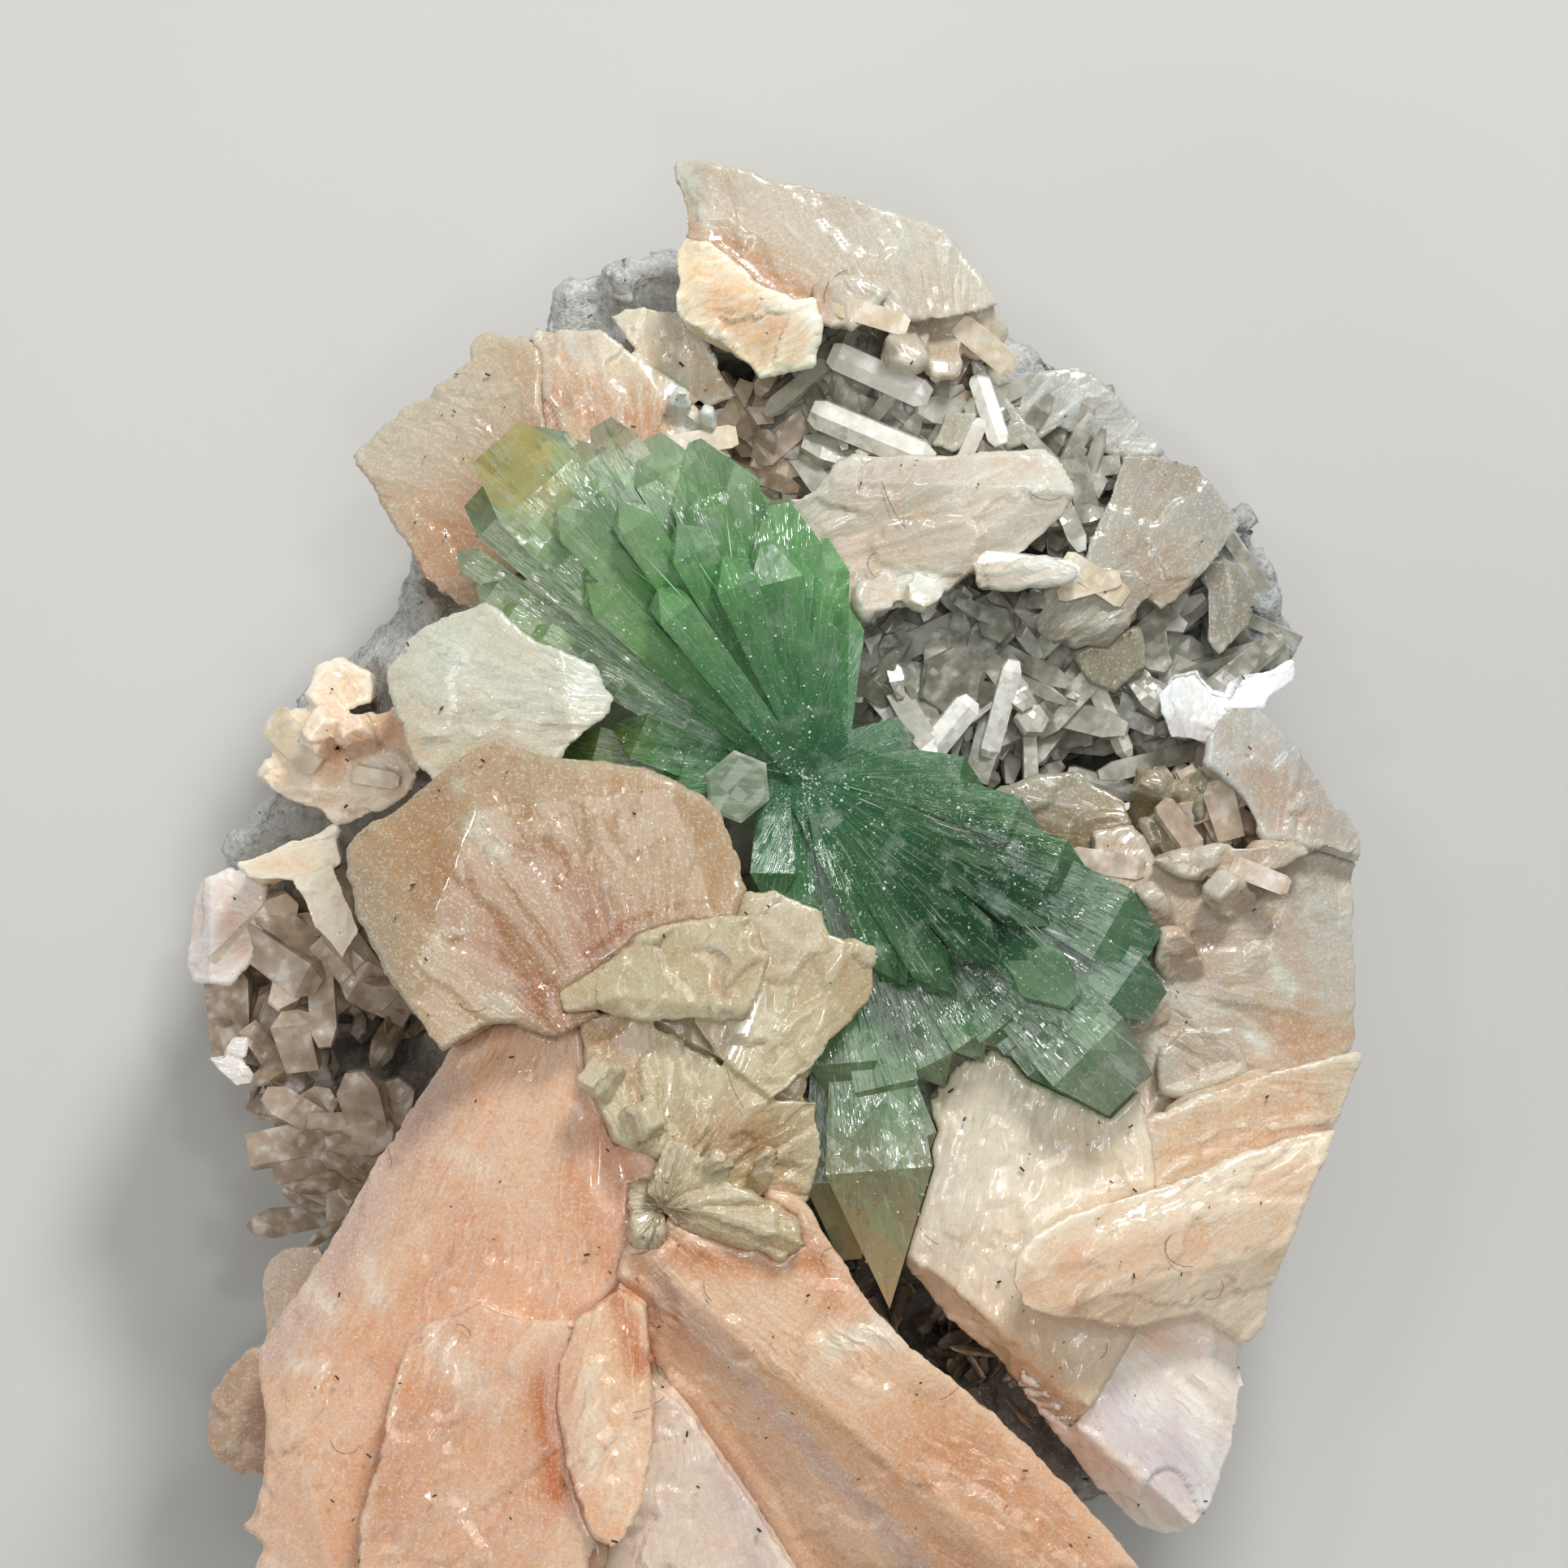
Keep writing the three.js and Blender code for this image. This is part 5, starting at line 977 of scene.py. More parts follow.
def crust_tree():
    """Scatters copies of one crystal over a surface, tilted and scaled at random."""
    tree = bpy.data.node_groups.new("Crust of small crystals", "GeometryNodeTree")
    given, result = add_inputs(tree, {
        "Surface": "Geometry", "Crystal": "Object", "Cover": "String", "Spacing": "Float",
        "Density": "Float", "Shortest": "Float", "Longest": "Float", "Tilt": "Float", "Seed": "Int",
        "Finish": "Material",
    })
    cover = node_of(tree, "GeometryNodeInputNamedAttribute", {"Name": given["Cover"]}, data_type="FLOAT")
    spots = node_of(tree, "GeometryNodeDistributePointsOnFaces", {
        "Mesh": given["Surface"], "Distance Min": given["Spacing"], "Density Max": given["Density"],
        "Density Factor": cover.outputs["Attribute"], "Seed": given["Seed"],
    }, distribute_method="POISSON")
    tilt, back = given["Tilt"], math_of(tree, "MULTIPLY", given["Tilt"], -1.0)
    low = node_of(tree, "ShaderNodeCombineXYZ", {"X": back, "Y": back, "Z": -math.pi}).outputs[0]
    high = node_of(tree, "ShaderNodeCombineXYZ", {"X": tilt, "Y": tilt, "Z": math.pi}).outputs[0]
    euler = random_of(tree, "FLOAT_VECTOR", low, high, given["Seed"])
    lean = node_of(tree, "FunctionNodeEulerToRotation", {"Euler": euler})
    turned = node_of(tree, "FunctionNodeRotateRotation", {
        "Rotation": spots.outputs["Rotation"], "Rotate By": lean.outputs[0],
    }, rotation_space="LOCAL")
    length = random_of(tree, "FLOAT", given["Shortest"], given["Longest"], given["Seed"])
    crystal = node_of(tree, "GeometryNodeObjectInfo", {"Object": given["Crystal"], "As Instance": True})
    copies = node_of(tree, "GeometryNodeInstanceOnPoints", {
        "Points": spots.outputs["Points"], "Instance": crystal.outputs["Geometry"],
        "Rotation": turned.outputs[0], "Scale": length,
    })
    return end_tree(tree, copies.outputs[0], given["Finish"], result)


def grown(tree, carrier, values):
    """The plain mesh that a tree makes on a carrier object, with its inputs set by their identifiers."""
    modifier = carrier.modifiers.new(tree.name, "NODES")
    modifier.node_group = tree
    for item in tree.interface.items_tree:
        if item.in_out == "INPUT" and item.name in values:
            modifier[item.identifier] = values[item.name]
    graph = bpy.context.evaluated_depsgraph_get()
    mesh = bpy.data.meshes.new_from_object(carrier.evaluated_get(graph))
    carrier.modifiers.remove(modifier)
    return mesh


CRUST = crust_tree()
print("crust tree nodes:", len(CRUST.nodes))

# %% [markdown]
# ## The finish of the small crystals
# The small laths are nearly colourless and let light through, but are too fine to look clear: they
# read as frosted. So less than half of their light is transmitted, the surface is rough, and a thin
# coat makes it glint. Each crystal that the tree of aimed crystals sets stores a tone of its own,
# which sets it off from its neighbours; the crust's laths store none, so clouds alone vary them. The
# same function gives the pinkish laths, the opaque creamy leaves and a few glossy white laths.

# %% Lath finishes
def lath_finish(name, pale, shade, clear=0.0):
    """A frosted, glinting finish between two colours, clear to a given share."""
    material, tree, shader = start_finish(
        name, Transmission_Weight=clear, IOR=1.5, Coat_Weight=0.5, Coat_Roughness=0.06,
    )
    place = millimetres(tree)
    clouds = noise_of(tree, place, 0.8, 2.0)
    shift = stretch(tree, clouds, 0.35, 0.65, -0.2, 0.5)
    tone = math_of(tree, "ADD", stored(tree, "tone")["Fac"], shift)
    colour = mixed(tree, tone, linear(*shade), linear(*pale))
    colour = mixed(tree, stretch(tree, clouds, 0.56, 0.68, 0.0, 0.5), colour, PEARL_WHITE)
    end_finish(tree, shader, colour, stretch(tree, clouds, 0.3, 0.7, 0.4, 0.16),
               flakes_of(tree, place, 2.4)[0])
    return material


COLOURLESS = lath_finish("Colourless laths", (226, 225, 210), (142, 139, 122), 0.4)
ROSY = lath_finish("Rosy laths", (226, 208, 186), (166, 144, 120), 0.15)
CREAMY = lath_finish("Creamy laths", (232, 218, 192), (204, 186, 156))
# near white: the laths' own pale colour, partly a painted highlight for their glints
SHINY = lath_finish("Glossy white laths", (252, 250, 244), (226, 222, 210))
print("lath finishes:", COLOURLESS.name, ROSY.name, CREAMY.name, SHINY.name)

# %% Crust pieces
OPEN_FACE = 0.25  # the crust grows only where the rock looks up this much
RIM_MARGIN = 2.2  # and only this far inside the specimen's outline, in millimetres
THIN_COVER = 0.25  # a cover thinner than this is left bare
DENSE, SPARSE = 2.4e6, 1.2e6  # crystals to a square metre, before the spacing thins them
CRUST_FIELDS = {  # finish, shortest, longest, tilt, seed, spacing in millimetres, density, strokes
    "crust_right": (COLOURLESS, 1.8, 5.2, 1.25, 5, 0.8, DENSE, [
        (52, 39.6, 70, 43.6, 2.8, 1.0), (60, 46, 74, 47, 2.4, 0.9), (56, 45, 62, 50, 1.6, 0.8)]),
    "crust_upper": (COLOURLESS, 1.4, 4.4, 1.2, 8, 0.8, DENSE, [
        (46, 24.6, 60, 27.4, 2.6, 1.0), (44, 27, 50, 30, 2.0, 0.9), (62, 27, 68, 31, 2.2, 0.7),
        (59, 24, 63, 28, 2.0, 0.7)]),
    "crust_left": (ROSY, 2.0, 6.0, 1.0, 12, 1.1, SPARSE, [
        (15, 57, 24, 62, 2.8, 0.9), (15, 63, 22, 74, 2.6, 0.9)]),
    "crust_gap": (ROSY, 1.6, 4.0, 1.1, 17, 0.9, SPARSE, [
        (54, 80, 62, 86, 2.2, 0.7), (46, 52, 54, 58, 3.0, 0.4), (36, 34, 44, 44, 4.0, 0.3)]),
}
inner_low = np.array(cad_box[0]) + RIM_MARGIN * MM
inner_high = np.array(cad_box[1]) - RIM_MARGIN * MM
bpy.context.scene.collection.objects.link(lath)
rock_points, rock_normals = read_points(rock.data)
inside = (rock_points > inner_low) & (rock_points < inner_high)
inside = inside[:, 0] & inside[:, 1]
for name, (finish, shortest, longest, tilt, seed, spacing, density, strokes) in CRUST_FIELDS.items():
    carrier = bpy.data.objects.new(name + "_carrier", rock.data.copy())
    bpy.context.scene.collection.objects.link(carrier)
    cover = stroke_tone(rock_points, strokes) * (rock_normals[:, 2] > OPEN_FACE) * inside
    write_numbers(carrier.data, "cover", np.where(cover > THIN_COVER, cover, 0))
    mesh = grown(CRUST, carrier, {
        "Crystal": lath, "Cover": "cover", "Spacing": spacing * MM, "Density": density,
        "Shortest": shortest * MM, "Longest": longest * MM, "Tilt": tilt, "Seed": seed, "Finish": finish,
    })
    bpy.data.objects.remove(carrier)
    add_piece(name, mesh, finish, "cream_stilbite").data.shade_flat()
bpy.data.objects.remove(lath)

# %% [markdown]
# ## The green crystal's finish
# Apophyllite is clear. Its green comes from a trace of vanadium and grows with depth, so the body
# lets light through and absorbs red and blue on the way, as a volume does. The tips are almost
# colourless, one is olive from iron and the lowest ones are tan, so the surface carries a tint that
# fades with the distance from the waist. Fine growth lines run out from the waist on every face.

# %% Green crystal finish
def disc(tree, place, x, y, radius, soft):
    """1 inside a round patch of the sheet and 0 outside it, with a soft edge, in millimetres."""
    middle = from_sheet(x, y) / MM
    flat = vector_of(tree, "MULTIPLY", place, (1.0, 1.0, 0.0))
    far = vector_of(tree, "DISTANCE", flat, (middle.x, middle.y, 0.0))
    return stretch(tree, far, radius + soft, radius - soft)


TONE_PATCHES = (  # x, y, radius and softness on the sheet in millimetres, then the colour
    (32, 40, 4.0, 6.0, (190, 214, 146)), (58, 55, 8.0, 7.0, (34, 96, 54)),
    (31.5, 28.5, 3.2, 1.8, (222, 204, 126)), (37.4, 26.4, 2.0, 1.4, (216, 190, 164)),
    (54, 80, 6.0, 6.0, (236, 208, 160)), (69, 60, 4.0, 4.0, (92, 150, 112)),
    (70, 66, 3.0, 3.0, (162, 172, 150)), (35.6, 45.6, 4.0, 1.5, (132, 164, 78)),
    (61, 56, 4.0, 3.0, (26, 82, 44)),
)
RAY_SIZES = (30.0, 0.2, 0.3)  # patterns to a radian, then to a millimetre outwards and upwards
PANE_SIZES = (14.0, 0.24, 0.5)
STREAK_STRETCH = (2.4, 1.6, 1.5)
ABSORPTION = 30.0


def apophyllite_finish():
    """The clear green finish, paler towards the tips, with growth lines, panes and patches of tone."""
    material, tree, shader = start_finish(
        "Green apophyllite", Transmission_Weight=0.55, IOR=1.535, Coat_Weight=0.3, Coat_Roughness=0.03,
    )
    place = millimetres(tree)
    waist = from_sheet(*WAIST) / MM
    away = vector_of(tree, "SUBTRACT", place, (waist.x, waist.y, 0.0))
    axes = node_of(tree, "ShaderNodeSeparateXYZ", {"Vector": away}).outputs
    turn = math_of(tree, "ARCTAN2", axes[1], axes[0])
    far = vector_of(tree, "LENGTH", vector_of(tree, "MULTIPLY", away, (1.0, 1.0, 0.0)))
    rays = fan_of(tree, turn, far, axes[2], RAY_SIZES)
    lines = noise_of(tree, rays, 1.0, 3.0, 0.75)
    streaks = noise_of(tree, vector_of(tree, "MULTIPLY", rays, STREAK_STRETCH), 1.0, 2.0, 0.6)
    veils = noise_of(tree, place, 0.5, 4.0, 0.7)
    specks = noise_of(tree, place, 4.5, 2.0, 0.8)
    mosaic = {"Vector": fan_of(tree, turn, far, axes[2], PANE_SIZES), "Scale": 1.0}
    pane = parts_of(tree, node_of(tree, "ShaderNodeTexVoronoi", mosaic).outputs["Color"])

    reach = math_of(tree, "ADD", far, math_of(tree, "MULTIPLY", veils, 9.0))
    body = mixed(tree, stretch(tree, reach, 5.0, 17.0), linear(74, 152, 106), linear(136, 204, 128))
    lower = stretch(tree, axes[1], -6.0, 2.0)
    pale = mixed(tree, lower, linear(156, 172, 132), linear(208, 222, 184))
    colour = mixed(tree, stretch(tree, reach, 18.5, 30.0), body, pale)
    for x, y, radius, soft, tone in TONE_PATCHES:
        colour = mixed(tree, disc(tree, place, x, y, radius, soft), colour, linear(*tone))
    light_pane = stretch(tree, pane[0], 0.5, 1.0, 0.0, 0.5)
    colour = laid_over(tree, colour, (
        (math_of(tree, "MULTIPLY", stretch(tree, far, 6.0, 18.0), light_pane), linear(186, 226, 180)),
        (stretch(tree, pane[1], 0.6, 1.0, 0.0, 0.35), linear(40, 108, 76)),
        (stretch(tree, streaks, 0.6, 0.67, 0.0, 0.5), linear(222, 242, 224)),
        (stretch(tree, lines, 0.56, 0.72, 0.0, 0.35), linear(206, 232, 214)),
        (stretch(tree, lines, 0.46, 0.3, 0.0, 0.4), linear(34, 92, 66)),
        (stretch(tree, veils, 0.54, 0.7, 0.0, 0.5), linear(208, 232, 214)),
        (stretch(tree, specks, 0.62, 0.68, 0.0, 0.7), PEARL_WHITE),
    ))
    flake = math_of(tree, "MULTIPLY", flakes_of(tree, place, 1.6)[0], 0.2)
    height = math_of(tree, "ADD", math_of(tree, "MULTIPLY", lines, 0.14), flake)
    end_finish(tree, shader, colour, stretch(tree, lines, 0.5, 0.7, 0.05, 0.3), height, 0.6)

    inputs = {"Color": (0.35, 0.85, 0.5, 1.0), "Density": ABSORPTION}
    depth = node_of(tree, "ShaderNodeVolumeAbsorption", inputs)
    tree.links.new(depth.outputs[0], tree.nodes["Material Output"].inputs["Volume"])
    return material


APOPHYLLITE = apophyllite_finish()
print("green crystal finish:", APOPHYLLITE.name)

# %% [markdown]
# ## A tree that sets crystals along their aims
# Prisms, needles and flakes all need the same thing: one small crystal on each point, turned and
# sized by the point's own values. One tree does it for all of them. For the prisms it also joins the
# copies with the large body into one closed skin, because clear crystals that only pass through each
# other would show dark walls inside.

# %% Tree of aimed crystals
def aimed_tree():
    """Sets one crystal on every point by its own turn and size, and can fuse them with a body."""
    tree = bpy.data.node_groups.new("Crystals along their aims", "GeometryNodeTree")
    given, result = add_inputs(tree, {
        "Points": "Geometry", "Crystal": "Object", "Body": "Object", "Fused": "Bool", "Finish": "Material",
    })
    turn = node_of(tree, "GeometryNodeInputNamedAttribute", {"Name": "turn"}, data_type="QUATERNION")
    size = node_of(tree, "GeometryNodeInputNamedAttribute", {"Name": "size"}, data_type="FLOAT_VECTOR")
    crystal = node_of(tree, "GeometryNodeObjectInfo", {"Object": given["Crystal"], "As Instance": True})
    copies = node_of(tree, "GeometryNodeInstanceOnPoints", {
        "Points": given["Points"], "Instance": crystal.outputs["Geometry"],
        "Rotation": turn.outputs["Attribute"], "Scale": size.outputs["Attribute"],
    })
    body = node_of(tree, "GeometryNodeObjectInfo", {"Object": given["Body"], "As Instance": True})
    fused = node_of(tree, "GeometryNodeMeshBoolean", operation="UNION", solver="MANIFOLD")
    tree.links.new(copies.outputs[0], fused.inputs["Mesh 2"])
    tree.links.new(body.outputs["Geometry"], fused.inputs["Mesh 2"])
    chosen = node_of(tree, "GeometryNodeSwitch", {
        "Switch": given["Fused"], "False": copies.outputs[0], "True": fused.outputs["Mesh"],
    }, input_type="GEOMETRY")
    return end_tree(tree, chosen.outputs[0], given["Finish"], result)


AIMED = aimed_tree()


def turn_of(aim, roll=0.0, up=UP):
    """The turn that points a crystal along an aim, with one side face looking up or along a slope."""
    along = aim.normalized()
    side = up.cross(along)
    side = Vector((1, 0, 0)) if side.length < 1e-3 else side.normalized()
    basis = Matrix((side, along.cross(side), along)).transposed()
    return basis.to_quaternion() @ Matrix.Rotation(roll, 3, "Z").to_quaternion()


def aimed_mesh(name, rows, seed_mesh, finish, fused_with=None):
    """A mesh of crystals, from rows of a start, a turn and a size along each axis."""
    spots = bpy.data.meshes.new(name + "_spots")
    spots.from_pydata([tuple(start) for start, _, _ in rows], [], [])
    write_attribute(spots, "turn", "QUATERNION", "value", [tuple(turn) for _, turn, _ in rows])
    write_vectors(spots, "size", [size for _, _, size in rows])
    write_numbers(spots, "tone", np.random.default_rng(len(rows)).random(len(rows)))
    carrier = bpy.data.objects.new(name + "_carrier", spots)
    crystal = bpy.data.objects.new(name + "_seed", seed_mesh)
    passing = [carrier, crystal]
    values = {"Crystal": crystal, "Finish": finish, "Fused": fused_with is not None}
    if fused_with is not None:
        values["Body"] = bpy.data.objects.new(name + "_body", fused_with)
        passing.append(values["Body"])
    for thing in passing:
        bpy.context.scene.collection.objects.link(thing)
    mesh = grown(AIMED, carrier, values)
    for thing in passing:
        bpy.data.objects.remove(thing)
    return mesh


print("nodes in the tree of aimed crystals:", len(AIMED.nodes))

# %% [markdown]
# ## The fans
# Between the large prisms of each fan stand many smaller ones, all pointing away from the waist.
# Their reach follows a rule: the length of the fan at each angle. So the angles are stepped through
# and the length is read off a short curve. The height of the large body is measured at each tip, so
# that each small prism lies just proud of it.

# %% Reach of the fans
FAN_REACH = {  # angles in degrees, then how far the fan reaches there, in millimetres
    "upper": ([78, 86, 95, 108, 120, 132, 142, 152, 165, 176],
              [10, 14, 16.5, 21, 24.5, 26.5, 25.5, 20, 14, 12]),
    "lower": ([-92, -78, -70, -62, -55, -44, -33, -22, -12, 0],
              [24, 25, 23, 20, 21, 26.5, 25, 20, 14.5, 10]),
}
FLAT_ANGLE = math.radians(1.5)
ABOVE_ALL = 60.0  # a height over every crystal, from which heights are measured, in millimetres
RIDGE_ROOM = 3.5  # how far to either side the highest ridge is looked for, in degrees

body_mesh = merged_copy("apophyllite_bow_tie")
body_surface = surface_of(body_mesh)


def fan_reach(side, degrees):
    """How far one fan reaches at an angle, in millimetres."""
    return float(np.interp(degrees, *FAN_REACH[side]))


def top_of_body(x, y):
    """Height of the green body's upper surface at a place of the sheet, in millimetres, or None."""
    hit = body_surface.ray_cast(from_sheet(x, y, ABOVE_ALL), DOWN)
    return hit[0].z / MM if hit[0] is not None else None


def along_fan(degrees, distance):
    """Sheet place at an angle and a distance from the waist."""
    turn = math.radians(degrees)
    return WAIST[0] + distance * math.cos(turn), WAIST[1] - distance * math.sin(turn)


def ridge_top(degrees, distance):
    """Height of the green body's highest ridge near an angle and distance, or None beside the body."""
    near = (degrees - RIDGE_ROOM, degrees, degrees + RIDGE_ROOM)
    tops = [top_of_body(*along_fan(angle, distance)) for angle in near]
    return None if tops[1] is None else max(top for top in tops if top is not None)


print("the upper fan reaches", fan_reach("upper", 132), "mm from the waist")

# %% Green body
PRISM_SECTIONS = [(0, 0.8, 1), (0.9, 1, 1), (1.0, 0.3, 0.4)]
HIGHEST_LIFT = 0.6  # how far a prism is lifted over a body that bulges, in millimetres
TIP_SINK, ROOT_SINK = 0.2, 0.35  # shares of a prism's depth that lie in the body
PRISM_BUNDLES = (  # from and to which angle, how many, widths in millimetres, shares for start and tip
    (80, 146, 60, (1.0, 2.4), (0.4, 0.65), (0.66, 1.0)),
    (80, 152, 50, (0.8, 1.8), (0.12, 0.35), (0.45, 0.72)),
    (138, 176, 64, (0.5, 1.3), (0.35, 0.7), (0.6, 1.0)),
    (-92, -60, 36, (0.6, 1.7), (0.3, 0.6), (0.62, 1.0)),
    (-60, -2, 54, (0.7, 2.1), (0.4, 0.65), (0.66, 1.0)),
    (-84, -4, 44, (0.4, 1.2), (0.1, 0.35), (0.4, 0.7)),
)
pick = np.random.default_rng(31)
rows = []
for low, high, count, widths, starts, tips in PRISM_BUNDLES:
    side = "upper" if low > 0 else "lower"
    for step in range(count):
        degrees = low + (high - low) * (step + 0.5) / count + pick.uniform(-2.5, 2.5)
        tip_distance = fan_reach(side, degrees) * pick.uniform(*tips)
        root_degrees = degrees + pick.uniform(-3, 3)
        root_distance = tip_distance * pick.uniform(*starts)
        width = pick.uniform(*widths)
        depth = width * pick.uniform(0.6, 0.9)
        tip_top, root_top = ridge_top(degrees, tip_distance), ridge_top(root_degrees, root_distance)
        if tip_top is None or root_top is None:
            continue
        middle_top = ridge_top((degrees + root_degrees) / 2, (tip_distance + root_distance) / 2)
        bulge = 0 if middle_top is None else max(0, middle_top - (tip_top + root_top) / 2)
        lift = min(bulge, HIGHEST_LIFT) - pick.uniform(0.0, 0.5)
        tip_height, root_height = tip_top + lift - depth * TIP_SINK, root_top + lift - depth * ROOT_SINK
        tip = from_sheet(*along_fan(degrees, tip_distance), tip_height)
        root = from_sheet(*along_fan(root_degrees, root_distance), root_height)
        aim = tip - root
        turn = turn_of(aim, pick.uniform(-0.25, 0.25))
        rows.append((root, turn, (width * MM, depth * MM, aim.length)))
prism = crystal_mesh("prism", PRISM_SECTIONS, 0.6, 0.6, corners=4)
body_mesh = aimed_mesh("fans", rows, prism, APOPHYLLITE, body_mesh)
work = bmesh.new()
work.from_mesh(body_mesh)
bmesh.ops.dissolve_limit(work, angle_limit=FLAT_ANGLE, verts=work.verts, edges=work.edges)
body_surface = BVHTree.FromBMesh(work)
print("edges of the green body that are not closed:", sum(not edge.is_manifold for edge in work.edges))
work.to_mesh(body_mesh)
work.free()
body = add_piece(
    "apophyllite_body", body_mesh, APOPHYLLITE, "green_apophyllite", "apophyllite_bow_tie",
)
body.data.shade_flat()

# %% [markdown]
# ## Needles and veils
# Inside the green body fine pale needles and cracks run out from the waist, and small flakes
# sparkle on it: their pale white stands for white specks and is partly a painted glint. They are far
# too thin to be clear, so they are opaque pale slivers just under the surface, where the clear body
# shows them. The height of the surface is measured at each place, so that each sliver lies a little
# below it.

# %% Sliver finish
def sliver_finish():
    """Pale and glossy, each sliver with its own tone."""
    material, tree, shader = start_finish("Pale slivers", Coat_Weight=0.6, Coat_Roughness=0.08)
    tone = stored(tree, "tone")["Fac"]
    colour = mixed(tree, tone, linear(160, 208, 168), linear(252, 255, 250))
    end_finish(tree, shader, colour, stretch(tree, tone, 0.0, 1.0, 0.4, 0.12))
    return material


SLIVERS = sliver_finish()
print("sliver finish:", SLIVERS.name)

# %% Needles and flakes
NEEDLE_SECTIONS = [(0, 0.3, 1), (0.3, 1, 1), (1, 0.1, 1)]
NEEDLES = {"upper": 200, "lower": 160}
NEEDLE_REACH = 0.92  # no needle comes nearer to the fan's rim than this share of its reach
pick = np.random.default_rng(47)
rows = []
for side, count in NEEDLES.items():
    low, high = FAN_REACH[side][0][0], FAN_REACH[side][0][-1]
    for _ in range(count):
        degrees = pick.uniform(low, high)
        reach = fan_reach(side, degrees)
        begin = reach * pick.uniform(0.05, 0.75)
        finish_at = min(reach * NEEDLE_REACH, begin + pick.uniform(0.8, 4.5))
        ends = [along_fan(degrees, begin), along_fan(degrees + pick.uniform(-3, 3), finish_at)]
        tops = [top_of_body(*end) for end in ends]
        if None in tops:
            continue
        under = pick.uniform(0.02, 0.8)
        first, last = [from_sheet(*end, top - under) for end, top in zip(ends, tops)]
        width = pick.uniform(0.03, 0.08) * MM
        rows.append((first, turn_of(last - first), (width, width, (last - first).length)))
needle = crystal_mesh("needle", NEEDLE_SECTIONS, 0.5, 0.5, corners=4)
needle_mesh = aimed_mesh("needles", rows, needle, SLIVERS)
add_piece("apophyllite_needles", needle_mesh, SLIVERS, "green_apophyllite")

# white flakes: specks, partly painted glints
FLAKES = 2400
FLAKE_REACH = 0.95
TIP_FLAKES = 420
TIP_FIELD = ((52.4, 59.0), (66, 85))  # where the tan tip lies on the sheet
FLAKE_THICKNESS = 0.02


def flake_at(spot, lean, widths, deepest, slimmest):
    """The row of one flake just below the green body's surface, or an empty list beside the body."""
    top = top_of_body(*spot)
    if top is None:
        return []
    aim = Vector((pick.uniform(-lean, lean), pick.uniform(-lean, lean), 1))
    wide = pick.uniform(*widths) * MM
    place = from_sheet(*spot, top - pick.uniform(-0.02, deepest))
    turn = turn_of(aim, pick.uniform(0, 3))
    return [(place, turn, (wide, wide * pick.uniform(slimmest, 1), FLAKE_THICKNESS * MM))]


rows = []
for _ in range(FLAKES):
    side = "upper" if pick.random() < 0.5 else "lower"
    degrees = pick.uniform(FAN_REACH[side][0][0], FAN_REACH[side][0][-1])
    spot = along_fan(degrees, fan_reach(side, degrees) * FLAKE_REACH * pick.random() ** 1.3)
    rows += flake_at(spot, 0.6, (0.06, 0.26), 0.3, 0.4)
for _ in range(TIP_FLAKES):
    spot = (pick.uniform(*TIP_FIELD[0]), pick.uniform(*TIP_FIELD[1]))
    rows += flake_at(spot, 0.8, (0.08, 0.34), 0.5, 0.3)
flake = crystal_mesh("flake", [(0, 1, 1), (1, 1, 1)], 0.5, 0.5, corners=5)
add_piece("apophyllite_flakes", aimed_mesh("flakes", rows, flake, SLIVERS), SLIVERS, "green_apophyllite")

# %% [markdown]
# ## Piles of rods
# In the recesses between the blades the small crystals are heaped up several layers deep. Scattering
# them on the rock alone would leave the recesses empty, so here each rod gets a place on a stroke, a
# height between the rock and the top of the heap, and a lean of its own. Rods that would poke out
# past the rock's outline are left away. The same tree as before sets them.

